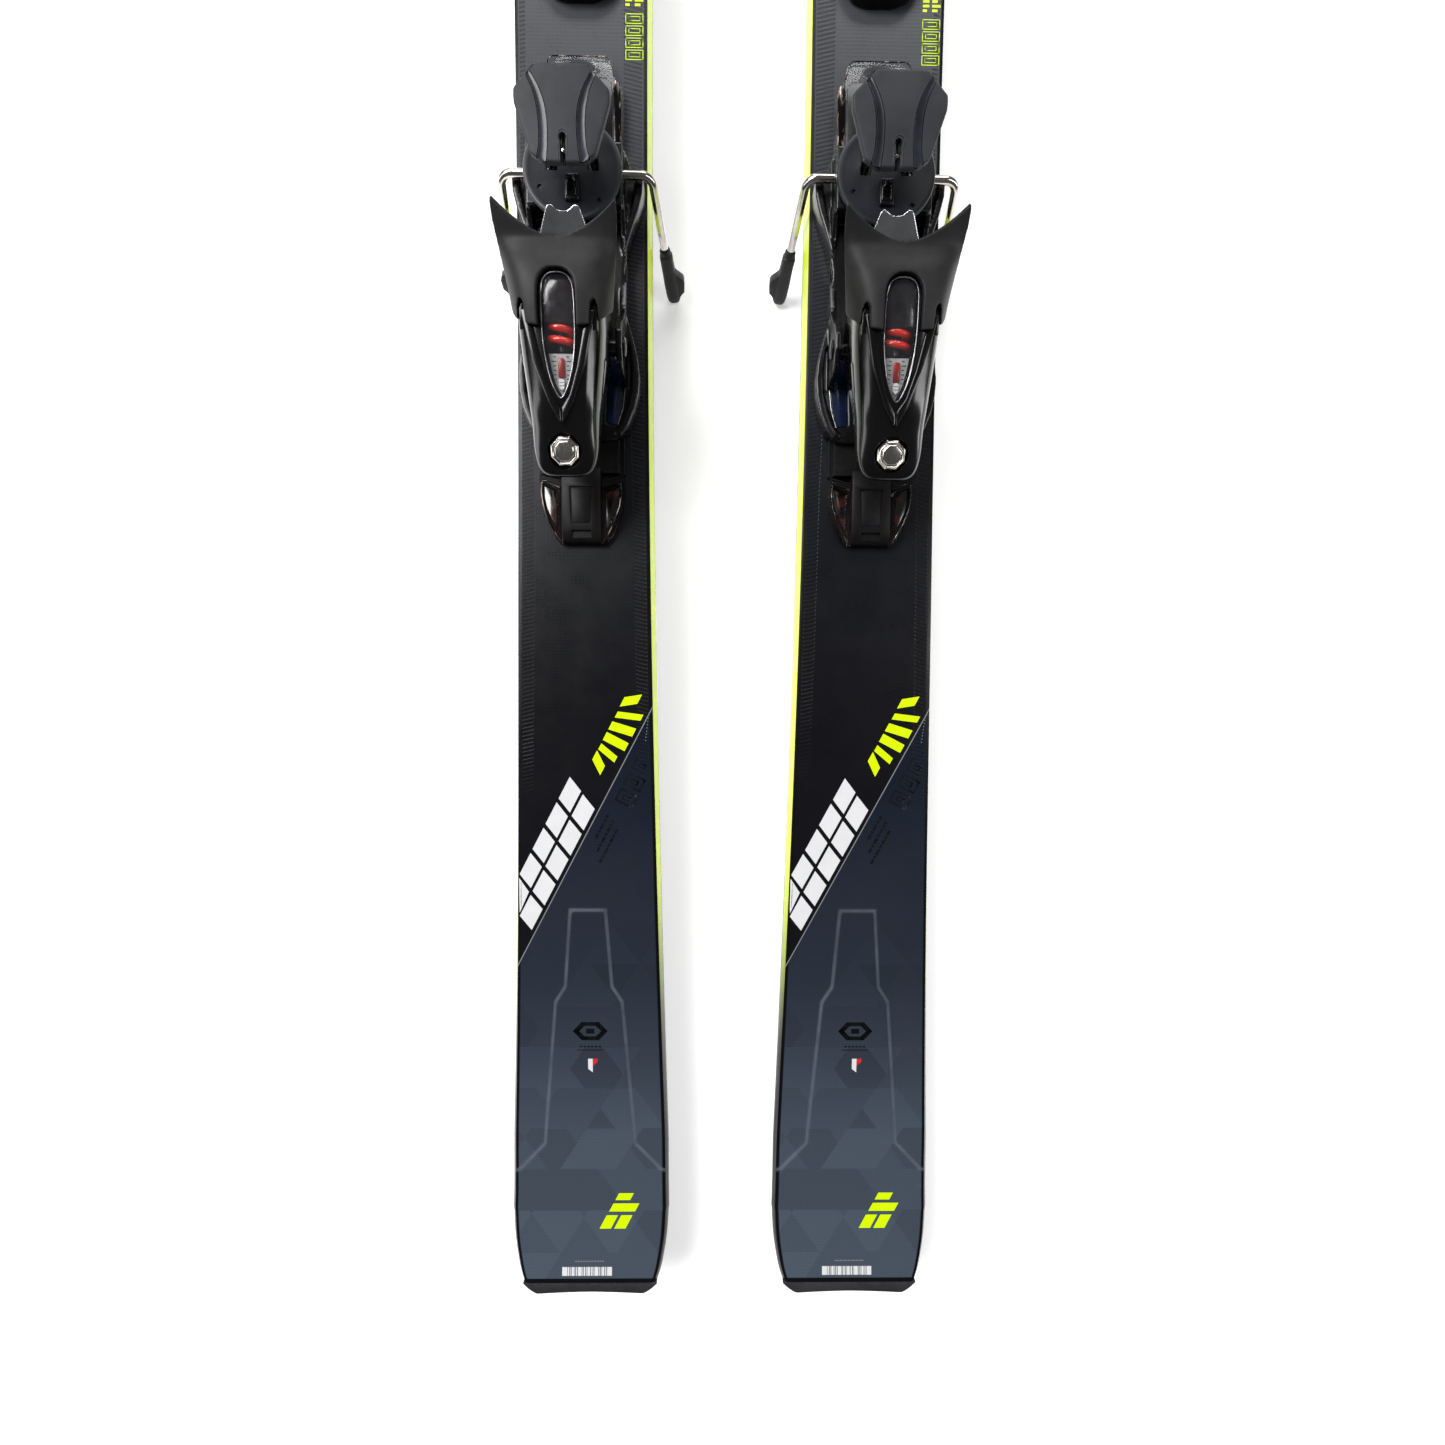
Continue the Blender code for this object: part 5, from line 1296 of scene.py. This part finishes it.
    def tip(sign):
        start, finish = bind(50.5 * sign, 723.9, -20.3), bind(55.4 * sign, 709.0, -55.5)
        line = finish - start
        axis = line.normalized()
        across = axis.cross(Vector((1, 0, 0))).normalized()
        wide = across.cross(axis)
        rings = []
        for s, a, b in ((0.0, 3.3, 3.3), (0.02, 3.6, 3.6), (0.10, 3.7, 3.7), (0.11, 4.1, 4.2), (0.16, 4.2, 4.3), (0.45, 4.3, 4.5), (0.62, 4.6, 4.8), (0.86, 4.6, 4.8), (0.95, 4.2, 4.4),
                        (1.0, 3.2, 3.4)):
            spot = start + line * s
            ring = []
            for t in [(k + 0.5) * math.tau / 28 for k in range(28)]:
                c, n = math.cos(t), math.sin(t)
                power = 0.7 if s > 0.1 else 1.0
                ring.append(spot + (across * a * math.copysign(abs(c) ** power, c) + wide * b * math.copysign(abs(n) ** power, n)) / 1000)
            rings.append(ring)
        sleeve = mesh_object("tip", loft(rings), "tip", 40)
        out = wide if wide.x * sign > 0 else -wide
        lug = prism(
            [start + line * s + (out * d - across * 2.9) / 1000 for s, d in ((0.40, 3.0), (0.50, 6.4), (0.56, 8.6), (0.62, 9.2), (0.80, 8.2), (0.84, 6.4), (0.95, 3.0))],
            across * 0.0058,
        )
        join(sleeve, mesh_object("lug", lug, None), angle=40)
        groove = mesh_object("groove", prism([start + line * s + (across * -9 + wide * w) / 1000 for s, w in ((0.2, 3.8), (0.2, 9), (0.42, 9), (0.42, 4.0))], across * 0.018), None)
        cut(sleeve, groove, angle=40)
        rounded(sleeve, 0.4, 2, 40)
        return sleeve

    both_arms(tip, "brake_tip_{}", "brake")


# ---------------------------------------------------------------- heel lever
HOUSING = [
    (585.7, 91.0, 95.4, 6.0), (586.3, 88.6, 97.2, 9.6), (587.6, 84.6, 98.4, 12.8), (590.0, 78.8, 98.8, 15.4), (593.6, 74.6, 97.9, 17.0),
    (598.0, 71.5, 96.4, 18.0), (607.0, 63.5, 93.8, 19.2),
    (615.0, 52.5, 91.4, 20.4), (622.0, 39.0, 89.2, 21.6), (627.5, 24.5, 87.2, 22.6), (633.0, 18.2, 84.8, 23.4), (640.0, 16.2, 81.6, 24.2),
    (648.0, 18.6, 78.0, 24.8), (655.0, 24.0, 74.8, 25.0), (664.0, 28.8, 70.8, 24.8), (676.0, 28.4, 65.0, 24.4), (687.0, 28.0, 57.0, 23.6),
    (691.0, 29.0, 52.0, 22.6),
]
WINDOW_HALF = [(0.0, 626.6), (1.2, 627.4), (2.4, 629.2), (3.8, 631.8), (5.1, 635.2), (6.2, 639.2), (7.2, 644.2), (8.0, 649.0), (8.5, 654.0), (8.7, 660.0),
               (8.7, 668.0), (8.5, 674.0), (8.0, 677.2), (7.0, 679.4), (5.4, 681.0), (3.2, 682.0), (0.0, 682.3)]
SLOPE_A = Vector((628.0, 87.0))
SLOPE = (Vector((681.0, 62.0)) - SLOPE_A).normalized()
SLOPE_UP = Vector((-SLOPE.y, SLOPE.x))


def on_slope(x, y, lift):
    p = SLOPE_A + SLOPE * ((y - SLOPE_A.x) / SLOPE.x) + SLOPE_UP * lift
    return opened(x, p.x, p.y)


def slope_prism(points, low_lift, high_lift):
    return prism([on_slope(x, y, low_lift) for x, y in points], on_slope(0, 650, high_lift) - on_slope(0, 650, low_lift))


def window_outline(grow):
    made = []
    n = len(WINDOW_HALF)
    for i, (x, y) in enumerate(WINDOW_HALF):
        a, b = Vector(WINDOW_HALF[max(i - 1, 0)]), Vector(WINDOW_HALF[min(i + 1, n - 1)])
        t = (b - a).normalized()
        normal = Vector((t.y, -t.x))
        if i == 0:
            normal = Vector((0, -1.6))
        if i == n - 1:
            normal = Vector((0, 1))
        made.append((max(x + normal.x * grow, 0.0), y + normal.y * grow))
    return made + [(-x, y) for x, y in made[-2:0:-1]]


CROWN = [(656, 79.0), (664, 75.6), (676, 69.6), (686, 62.6), (693, 56.0), (697.6, 52.8), (706, 51.4), (716, 50.6)]
FLANK = [(656, 56.5), (664, 53.6), (676, 51.4), (690, 50.0), (716, 49.8)]
WIDE = [(656, 27.2), (664, 28.0), (676, 29.4), (690, 31.2), (706, 32.6), (716, 32.4)]


def cup_skin(rows, columns, thickness, lift=0.0, grow=0.0, back_at=660.5):
    """Closed cup shell between its outer skin, moved out by lift, and thickness below it."""
    bm = bmesh.new()
    grid = []
    for i in range(rows + 1):
        v = i / rows
        line = []
        for j in range(columns + 1):
            u = -1 + 2 * j / columns
            a = abs(u)
            front = 697.6 + 16.4 * (math.sin(min(1.0, a * 1.02) * math.pi / 2) ** 0.86) ** 1.75 + 1.0 * smooth((a - 0.9) / 0.1) + grow
            back = back_at + 3.0 * a**2 - grow
            y = back + (front - back) * v
            top, side = mixed(CROWN, y), mixed(FLANK, y)
            h = side + (top - side) * (1 - (math.sin(min(1.0, a * 1.02) * math.pi / 2) ** 0.86) ** 5.0) - grow * a**4
            x = mixed(WIDE, y) * math.copysign(math.sin(min(1.0, a * 1.02) * math.pi / 2) ** 0.86 if a else 0.0, u)
            line.append(opened(x, y, h))
        grid.append(line)
    # Normals of the skin, for an even wall.
    outer, inner = [], []
    for i in range(rows + 1):
        o, n = [], []
        for j in range(columns + 1):
            du = grid[i][min(j + 1, columns)] - grid[i][max(j - 1, 0)]
            dv = grid[min(i + 1, rows)][j] - grid[max(i - 1, 0)][j]
            normal = du.cross(dv).normalized()
            if normal.z < 0 and abs(-1 + 2 * j / columns) < 0.8:
                normal = -normal
            o.append((grid[i][j], normal))
        outer.append(o)
    def vertex(i, j, depth):
        p, normal = outer[i][j]
        return bm.verts.new(p - normal * depth / 1000)
    up = [[vertex(i, j, -lift) for j in range(columns + 1)] for i in range(rows + 1)]
    down = [[vertex(i, j, thickness) for j in range(columns + 1)] for i in range(rows + 1)]
    for i in range(rows):
        for j in range(columns):
            bm.faces.new((up[i][j], up[i][j + 1], up[i + 1][j + 1], up[i + 1][j]))
            bm.faces.new((down[i][j], down[i + 1][j], down[i + 1][j + 1], down[i][j + 1]))
    for i in range(rows):
        bm.faces.new((up[i][0], up[i + 1][0], down[i + 1][0], down[i][0]))
        bm.faces.new((up[i][columns], down[i][columns], down[i + 1][columns], up[i + 1][columns]))
    for j in range(columns):
        bm.faces.new((up[0][j], down[0][j], down[0][j + 1], up[0][j + 1]))
        bm.faces.new((up[rows][j], up[rows][j + 1], down[rows][j + 1], down[rows][j]))
    return bm


def build_lever():
    # Housing: fine sections through the same outline as the solid.
    rings, count = [], 56
    places = [585.7, 585.9, 586.3, 586.9, 587.6, 588.6, 590.0, 591.6] + [593.6 + 2.4 * k for k in range(41)] + [691.0]
    lows, highs, halves = ([(r[0], r[k]) for r in HOUSING] for k in (1, 2, 3))
    for y in places:
        a, b, w = mixed(lows, y), mixed(highs, y), mixed(halves, y)
        middle, tall = (a + b) / 2, (b - a) / 2
        power = 0.46 if y < 600 else 0.46 - 0.06 * smooth((y - 600) / 30)
        ring = []
        for t in [(k + 0.5) * math.tau / count for k in range(count)]:
            c, s = math.cos(t), math.sin(t)
            x = w * math.copysign(abs(c) ** power, c)
            # Sides lean in towards the top.
            lean = 1 - 0.10 * smooth(s * 0.5 + 0.5) * smooth((y - 596) / 20)
            ring.append(opened(x * lean, y, middle + tall * math.copysign(abs(s) ** power, s)))
        rings.append(ring)
    housing = mesh_object("housing", loft(rings), "gloss", 40)
    # The cutter's lower face lies just under the cup.
    cutters = [mesh_object("over", cup_skin(16, 32, 4.7, 30.0, 0.6), None)]
    cutters.append(mesh_object("pocket", slope_prism(window_outline(0.25), -19.0, 30.0), None))
    cutters.append(mesh_object("bore", rod(bind(-40, *HEEL_PIVOT), bind(40, *HEEL_PIVOT), 4.3), None))
    lean = math.radians(90 + SCREW_TILT)
    axis = Vector((0, math.cos(lean), math.sin(lean)))
    face = bind(0, *SCREW_AT)
    cutters.append(mesh_object("recess", rod(face - axis * 0.0046, face + axis * 0.02, 9.3, 40, 10.6), None))
    cutters.append(mesh_object("hole", rod(face - axis * 0.016, face, 3.9, 20), None))
    # Shallow scallops down both flanks.
    for sign in (1, -1):
        path = [opened(27.5 * sign, 640, 64), opened(25.5 * sign, 622, 74), opened(23.4 * sign, 604, 84)]
        cutters.append(mesh_object("scallop", sweep(path, 4.6, 20, True, radii=[5.0, 5.2, 4.4]), None))
    cut(housing, *cutters, angle=32)
    # V-shaped ribs from the cup's pockets to the point under the window.
    ribs = []
    for sign in (1, -1):
        outline = [(19.6 * sign, 666.0), (15.2 * sign, 666.0), (9.4 * sign, 641.0), (4.8 * sign, 628.0), (0.25 * sign, 622.0), (0.25 * sign, 614.6), (6.8 * sign, 624.6), (14.2 * sign, 643.0)]
        ribs.append(mesh_object("rib", slope_prism(outline, -3.0, 1.5), "gloss"))
        rounded(ribs[-1], 0.6, 3, 30)
    rib_a, rib_b = ribs
    copies(housing, "heel_housing", "heel_lever", ["heel_housing"])
    copies(rib_a, "housing_rib_p", "heel_lever")
    copies(rib_b, "housing_rib_n", "heel_lever")

    # Cup.
    cup = mesh_object("cup", cup_skin(30, 64, 4.2), "matte", 60)
    cutters = [mesh_object("slot", slope_prism(window_outline(1.7), -25.0, 40.0), None)]
    for sign in (1, -1):
        notch = [(16.4 * sign, 655.0), (21.6 * sign, 655.0), (21.4 * sign, 667.5), (19.6 * sign, 671.5), (17.6 * sign, 669.0)]
        cutters.append(mesh_object("notch", slope_prism(notch, -2.6, 40.0), None))
    cut(cup, *cutters)
    moulded(cup, 0.55, 4, 0.30, 60)
    copies(cup, "heel_cup", "heel_lever", ["heel_cup"])
    for sign, label in ((1, "p"), (-1, "n")):
        fill = [(16.9 * sign, 657.5), (21.0 * sign, 657.5), (20.9 * sign, 666.8), (19.4 * sign, 670.2), (18.0 * sign, 668.2)]
        plug = mesh_object("plug", slope_prism(fill, -4.2, -1.2), "gloss")
        rounded(plug, 0.5, 3)
        copies(plug, f"cup_notch_{label}", "heel_lever")

    # Window: a thin clear lid with a raised rim, over the scale plate.
    lid = mesh_object("lid", slope_prism(window_outline(-0.45), -2.0, -0.35), "window")
    rounded(lid, 0.6, 4)
    copies(lid, "heel_window", "heel_lever", ["heel_window"])
    # A pale metal bead round the window forms the raised rim and stands in for its edge highlight.
    ring = [on_slope(x, y, 0.15) for x, y in window_outline(0.1)]
    bezel = mesh_object("bezel", sweep(ring + [ring[0]], 0.42, 8, False), "edge_highlight_metal", 80)
    copies(bezel, "window_bezel", "heel_lever")
    half = [(x, y) for x, y in WINDOW_HALF if y < 648]
    plate_half = [(max(x - 0.9, 0.0), y + 1.0) for x, y in half] + [(6.7, 647.6)]
    plate = mesh_object("plate", slope_prism(plate_half + [(-x, y) for x, y in plate_half[::-1] if x > 0], -5.6, -4.9), "scale_plate")
    copies(plate, "window_scale_plate", "heel_lever")
    ticks = bmesh.new()
    for k in range(9):
        y = 629.6 + 2.05 * k
        room = mixed([(p[1], p[0]) for p in WINDOW_HALF[:9]], y) - 1.6
        for sign in (1, -1):
            inner_x, outer_x = 2.9, min(2.9 + (2.4 if k % 2 else 1.4), room)
            if outer_x - inner_x < 0.4:
                continue
            one = slope_prism([(inner_x * sign, y), (outer_x * sign, y), (outer_x * sign, y + 0.42), (inner_x * sign, y + 0.42)], -4.95, -4.78)
            mesh = bpy.data.meshes.new("tick")
            one.to_mesh(mesh)
            one.free()
            ticks.from_mesh(mesh)
            bpy.data.meshes.remove(mesh)
    copies(mesh_object("ticks", ticks, "black_ink"), "window_scale_ticks", "heel_lever")
    # Spring: a broad red coil whose first two turns show; over the upper turns a dark hood stands in for their shade.
    points = []
    turns, per_turn = 4, 32
    for i in range(turns * per_turn + 1):
        t = i * math.tau / per_turn
        spot = SLOPE_A + SLOPE * (26.9 + 6.1 * i / per_turn) - SLOPE_UP * (8.4 - 3.9 * math.sin(t))
        points.append(opened(6.1 * math.cos(t), spot.x, spot.y))
    coil = mesh_object("coil", sweep(points, 2.0, 14), "spring", 80)
    copies(coil, "heel_spring", "heel_lever", ["heel_spring"])
    drum = mesh_object("drum", sweep([opened(0, *(SLOPE_A + SLOPE * s - SLOPE_UP * 9.6)) for s in (23.4, 53.0)], 2.3, 24), "dark", 60)
    copies(drum, "spring_core", "heel_lever")
    # The hood is a dark sheet of painted shade over the spring's upper turns.
    shade_hood = mesh_object("shade_hood", slope_prism([(-8.0, 660.8), (8.0, 660.8), (8.0, 674.0), (7.4, 677.6), (5.2, 680.4), (-5.2, 680.4), (-7.4, 677.6), (-8.0, 674.0)], -3.9, -2.25), "shade_hood")
    rounded(shade_hood, 0.7, 3)
    copies(shade_hood, "spring_shade_hood", "heel_lever")
    tongue = mesh_object("tongue", slope_prism([(-1.7, 636.6), (1.7, 636.6), (1.7, 645.0), (0.9, 645.6), (-0.9, 645.6), (-1.7, 645.0)], -4.6, -3.4), "red")
    rounded(tongue, 0.3, 2)
    copies(tongue, "heel_indicator", "heel_indicator_moving", ["heel_indicator"])
    head = mesh_object("head", slope_prism([(-1.5, 631.9), (0, 630.6), (1.5, 631.9), (1.7, 634.8), (0.9, 635.9), (-0.9, 635.9), (-1.7, 634.8)], -4.6, -3.2), "white")
    cut(head, *[mesh_object("groove", slope_prism([(-3, y), (3, y), (3, y + 0.5), (-3, y + 0.5)], -3.7, 0), None) for y in (632.4, 633.9)])
    copies(head, "indicator_head", "heel_indicator_moving")

    # Release screw: eight-sided, stepped and dished.
    turn = math.tau / 16
    profile = [(3.5, -15.5), (3.5, -4.2), (8.7, -4.2), (8.85, -0.4), (8.7, 0.3), (7.5, 1.9), (7.1, 2.1), (6.6, 1.8), (6.3, 1.3), (5.8, 1.2), (0.0, 1.2)]
    screw = mesh_object("screw", lathe(face, axis, profile, 8, turn), "chrome", 18)
    rounded(screw, 0.22, 2, 20)
    copies(screw, "heel_screw", "heel_screw_turning", ["heel_screw"])
    cap = mesh_object("cap", lathe(face, axis, [(0, 1.1), (5.9, 1.1), (5.9, 1.6), (5.3, 2.1), (0, 2.3)], 8, turn), "wire", 18)
    rounded(cap, 0.2, 2, 20)
    copies(cap, "heel_screw_cap", "heel_screw_turning")

    # Tread plate under the cup, front edge a shallow W.
    half = [(14.0, 0.0), (14.0, 29.0), (9.4, 41.6), (8.4, 43.0), (7.0, 43.5), (5.6, 43.0), (3.6, 41.4), (2.2, 40.7), (0.0, 40.6)]
    rear, front = Vector((665.8, 27.2)), Vector((705.4, 22.6))
    run = (front - rear).normalized()
    rise = Vector((-run.y, run.x))

    def on_tread(x, s, lift):
        p = rear + run * s + rise * lift
        return opened(x, p.x, p.y)

    outline = half + [(-x, s) for x, s in half[-2::-1]]
    plate = mesh_object("tread", prism([on_tread(x, s, -2.4) for x, s in outline], on_tread(0, 0, 0) - on_tread(0, 0, -2.4)), "tread")
    bm = bmesh.new()
    bm.from_mesh(plate.data)
    for k in range(2, 43, 3):
        bmesh.ops.bisect_plane(bm, geom=bm.verts[:] + bm.edges[:] + bm.faces[:], plane_co=on_tread(0, k, 0), plane_no=on_tread(0, 1, 0) - on_tread(0, 0, 0))
    for k in range(-12, 13, 2):
        bmesh.ops.bisect_plane(bm, geom=bm.verts[:] + bm.edges[:] + bm.faces[:], plane_co=(k / 1000, 0, 0), plane_no=(1, 0, 0))
    lift_dir = (on_tread(0, 0, 1) - on_tread(0, 0, 0))
    for v in bm.verts:
        v.co -= lift_dir * 1.5 * (1 - (v.co.x / 0.014) ** 2) * 0.8
    bm.to_mesh(plate.data)
    bm.free()
    rounded(plate, 0.5, 3, 40)
    copies(plate, "heel_tread", "heel_lever", ["heel_tread"])


def plate_paint():
    p = Paint("scale_plate", (0.42, 0.42, 0.43), 0.35, 0.2)
    p.vary((0.34, 0.33, 0.33), (0.50, 0.49, 0.49), 400.0)
    p.rough(p.linear(p.noise(900.0, 3.0), 0.3, 0.7, 0.28, 0.42))
    return p


def edge_highlight_paint():
    # Pale metal for thin beads that stand in for edge highlights.
    p = Paint("bezel_painted_edge_highlight", (0.3, 0.3, 0.31), 0.12, 0.8)
    p.vary((0.16, 0.16, 0.17), (0.44, 0.44, 0.45), 120.0)
    p.rough(p.linear(p.noise(300.0, 3.0), 0.3, 0.7, 0.08, 0.2))
    return p


def shade_hood_paint():
    # Near-black with faint brownish streaks, used as painted shade over the spring.
    p = Paint("spring_painted_shade", srgb(16, 14, 15), 0.16, Coat_Weight=0.5, Coat_Roughness=0.06)
    p.colour(p.mix(p.linear(p.noise(70.0, 3.0, stretch=(1.6, 0.5, 1)), 0.38, 0.66), srgb(6, 5, 6), srgb(30, 22, 22)))
    p.rough(p.linear(p.noise(200.0, 3.0), 0.3, 0.7, 0.12, 0.26))
    return p


P["shade_hood"] = shade_hood_paint()
P["scale_plate"] = plate_paint()
P["edge_highlight_metal"] = edge_highlight_paint()


# ---------------------------------------------------------------- toe piece
def build_toe():
    half = [(9.0, 856), (17.0, 859), (24.0, 868), (27.0, 880), (27.0, 1060), (24.0, 1074), (17.0, 1083), (9.0, 1086)]
    base = mesh_object("toe_base", plan(mirrored(half), 0.3, 9.0), "track")
    rounded(base, 1.8, 4)
    cutters = [mesh_object("window", plan([(-9, 866), (9, 866), (11, 871), (11, 884), (-11, 884), (-11, 871)], 6.4, 12), None)]
    for k in range(6):
        y = 892 + 7.4 * k
        cutters.append(mesh_object("slot", block((-14, y, 7.6), (14, y + 3.4, 12)), None))
    for x, y in ((18, 905), (-18, 905), (18, 930), (-18, 930)):
        cutters.append(mesh_object("hole", rod(bind(x, y, 6.6), bind(x, y, 12), 4.6, 28), None))
    cut(base, *cutters)
    riser = mesh_object("riser", block((-24, 940, 5), (24, 1066, 13.0)), "track")
    rounded(riser, 1.4, 3)
    join(base, riser)
    copies(base, "toe_base", "ski", ["toe_base"])
    screws = []
    for i, (x, y) in enumerate(((18, 905), (-18, 905), (18, 930), (-18, 930))):
        head = mesh_object("bolt", lathe(bind(x, y, 6.7), Vector((0, 0, 1)), [(0, 0), (4.2, 0), (4.2, 0.9), (3.4, 1.6), (0, 1.7)], 28), "chrome", 35)
        cut(head, mesh_object("cross", block((x - 2.4, y - 0.5, 7.4), (x + 2.4, y + 0.5, 12)), None), mesh_object("cross", block((x - 0.5, y - 2.4, 7.4), (x + 0.5, y + 2.4, 12)), None))
        copies(head, f"toe_bolt_{i}", "ski")
    pad_outline = [(-26, 950), (-22, 944), (22, 944), (26, 950), (26, 984), (-26, 984)]
    pad = mesh_object("pad", plan(pad_outline, 13.3, 28.0), "pad")
    rounded(pad, 1.6, 4)
    cut(pad, *[mesh_object("rib", block((-19 + 5.2 * k, 948, 27.2), (-16.6 + 5.2 * k, 981, 30)), None) for k in range(8)])
    copies(pad, "sole_pad", "ski", ["sole_pad"])
    side = [(1000, 13.3), (1068, 13.3), (1074, 22), (1075, 40), (1070, 52), (1058, 60), (1040, 64), (1014, 64.5), (1001, 61.5), (1001, 57),
            (1024.5, 57), (1024.5, 29.6), (1000, 29.6)]
    bm = prism([bind(-27, y, h) for y, h in side], Vector((0.054, 0, 0)))
    housing = mesh_object("toe_housing", bm, "gloss")
    bm = bmesh.new()
    bm.from_mesh(housing.data)
    for k in range(1006, 1076, 6):
        bmesh.ops.bisect_plane(bm, geom=bm.verts[:] + bm.edges[:] + bm.faces[:], plane_co=bind(0, k, 0), plane_no=(0, 1, 0))
    for k in range(18, 64, 6):
        bmesh.ops.bisect_plane(bm, geom=bm.verts[:] + bm.edges[:] + bm.faces[:], plane_co=bind(0, 0, k), plane_no=(0, 0, 1))
    for v in bm.verts:
        y = (v.co.y - TAIL_Y) * 1000 + SET_BACK
        h = (v.co.z - PLATFORM_Z) * 1000
        v.co.x *= 1 - 0.34 * smooth((y - 1030) / 50) - 0.10 * smooth((h - 40) / 26)
    bm.to_mesh(housing.data)
    bm.free()
    rounded(housing, 2.6, 5, 34)
    for sign in (1, -1):
        post = rod(bind(19 * sign, 1012, 20), bind(19 * sign, 1012, 61), 3.2, 24)
        join(housing, mesh_object("post", post, None))
    face = bind(0, 1074.6, 33)
    cutters = [mesh_object("recess", rod(face - Vector((0, 0.006, 0)), face + Vector((0, 0.02, 0)), 8.4, 36), None)]
    cutters.append(mesh_object("view", plan([(-6.5, 1034), (6.5, 1034), (6.5, 1050), (3.0, 1056), (-3.0, 1056), (-6.5, 1050)], 60.5, 80), None))
    cut(housing, *cutters)
    copies(housing, "toe_housing", "ski", ["toe_housing"])
    scale = mesh_object("toe_scale", plan([(-5.9, 1034.7), (5.9, 1034.7), (5.9, 1049.6), (2.7, 1055.2), (-2.7, 1055.2), (-5.9, 1049.6)], 59.0, 60.2), "scale_plate")
    copies(scale, "toe_scale_plate", "ski")
    turn = math.tau / 16
    screw = mesh_object("toe_screw", lathe(face, Vector((0, 1, 0)), [(0, -5.5), (7.6, -5.5), (7.6, -1.6), (6.6, -0.6), (5.4, -0.8), (0, -0.9)], 8, turn), "chrome", 20)
    rounded(screw, 0.2, 2, 20)
    copies(screw, "toe_screw", "toe_screw_turning", ["toe_screw"])

    def wing(sign):
        px, py = 19.0, 1012.0
        arc = [(px + 8.2 * math.cos(a), py + 8.2 * math.sin(a)) for a in [math.radians(d) for d in range(170, 20, -10)]]
        rest = [(33.0, 1012.0), (36.4, 1007.8), (39.0, 1003.0), (40.7, 997.8), (41.6, 992.0), (41.9, 986.0), (41.8, 980.0), (41.0, 975.4), (39.5, 972.4), (37.6, 971.8), (36.2, 973.0),
                (35.5, 976.4), (35.0, 980.0), (34.0, 984.9), (32.6, 989.0), (30.6, 993.0), (28.0, 996.0), (24.8, 998.8), (21.0, 1000.5), (14.6, 1003.6)]
        outline = [(x * sign, y) for x, y in arc + rest]
        piece = mesh_object("toe_wing", plan(outline, 30.0, 56.6), "matte")
        rounded(piece, 2.0, 4, 40)
        grooves = []
        for h in (36.0, 42.0, 48.0):
            grooves.append(mesh_object("groove", prism([bind(43.2 * sign, 970, h), bind(43.2 * sign, 996, h), bind(40.9 * sign, 996, h), bind(41.2 * sign, 970, h)], Vector((0, 0, 0.0018))), None))
        grooves.append(mesh_object("bore", rod(bind(px * sign, py, 20), bind(px * sign, py, 70), 3.6, 28), None))
        cut(piece, *grooves)
        return piece

    both_arms(wing, "toe_wing_{}", "toe_wing_{}_moving")


build_body()
print_marks()
build_track()
build_carriage()
build_brake()
build_lever()
build_toe()

for prefix in SIDES:
    for node, paint in (("base", "base"), ("core", "core")):
        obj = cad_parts[f"{prefix}_{node}"]
        obj.data.materials.clear()
        obj.data.materials.append(P[paint].material)

# ---------------------------------------------------------------- floor, light, camera
def floor_paint():
    p = Paint("studio_floor", (0.93, 0.93, 0.93), 0.7, Specular_IOR_Level=0.15)
    p.vary((0.92, 0.92, 0.92), (0.94, 0.94, 0.94), 8.0)
    p.shader.inputs["Emission Color"].default_value = (1.0, 1.0, 1.0, 1.0)
    p.shader.inputs["Emission Strength"].default_value = 0.42
    return p


bm = bmesh.new()
bmesh.ops.create_grid(bm, x_segments=2, y_segments=2, size=6.0)
mesh = bpy.data.meshes.new("floor")
bm.to_mesh(mesh)
bm.free()
mesh.materials.append(floor_paint().material)
floor = bpy.data.objects.new("studio_floor", mesh)
floor.location.z = -0.0006
scene.collection.objects.link(floor)

world = bpy.data.worlds.new("studio")
scene.world = world
world.use_nodes = True
world.node_tree.nodes["Background"].inputs[0].default_value = (1.0, 1.0, 1.0, 1.0)
world.node_tree.nodes["Background"].inputs[1].default_value = 0.10


def lamp(name, where, aim, size, watts, colour=(1, 1, 1)):
    data = bpy.data.lights.new(name, "AREA")
    data.shape = "RECTANGLE"
    data.size, data.size_y = size
    data.energy = watts
    data.color = colour
    obj = bpy.data.objects.new(name, data)
    obj.location = where
    obj.rotation_euler = (Vector(aim) - Vector(where)).to_track_quat("-Z", "Y").to_euler()
    scene.collection.objects.link(obj)
    return obj


lamp("key", (-1.6, 0.7, 2.5), (0, -0.35, 0), (1.5, 1.5), 106)
lamp("front", (0.1, 2.4, 2.0), (0, -0.2, 0), (2.6, 1.0), 62)
lamp("left_strip", (-1.9, -0.5, 1.0), (0, -0.4, 0.05), (0.4, 2.4), 12)
lamp("right_strip", (1.8, -0.4, 1.3), (0, -0.4, 0.05), (0.35, 2.4), 20)

camera_data = bpy.data.cameras.new("camera")
camera = bpy.data.objects.new("camera", camera_data)
scene.collection.objects.link(camera)
scene.camera = camera
camera_data.sensor_width = 36.0
camera_data.lens = 731.0 / 1445 * 36.0
camera_data.clip_start, camera_data.clip_end = 0.01, 50.0
turn = (
    Matrix.Rotation(math.radians(0.44), 3, "Z") @ Matrix.Rotation(math.radians(-0.77), 3, "Y") @ Matrix.Rotation(math.radians(-4.18), 3, "X")
)
camera.matrix_world = Matrix.Translation(at(-8.1, 442.7, 500.4)) @ turn.to_4x4()

scene.view_settings.view_transform = "Standard"
scene.view_settings.look = "None"
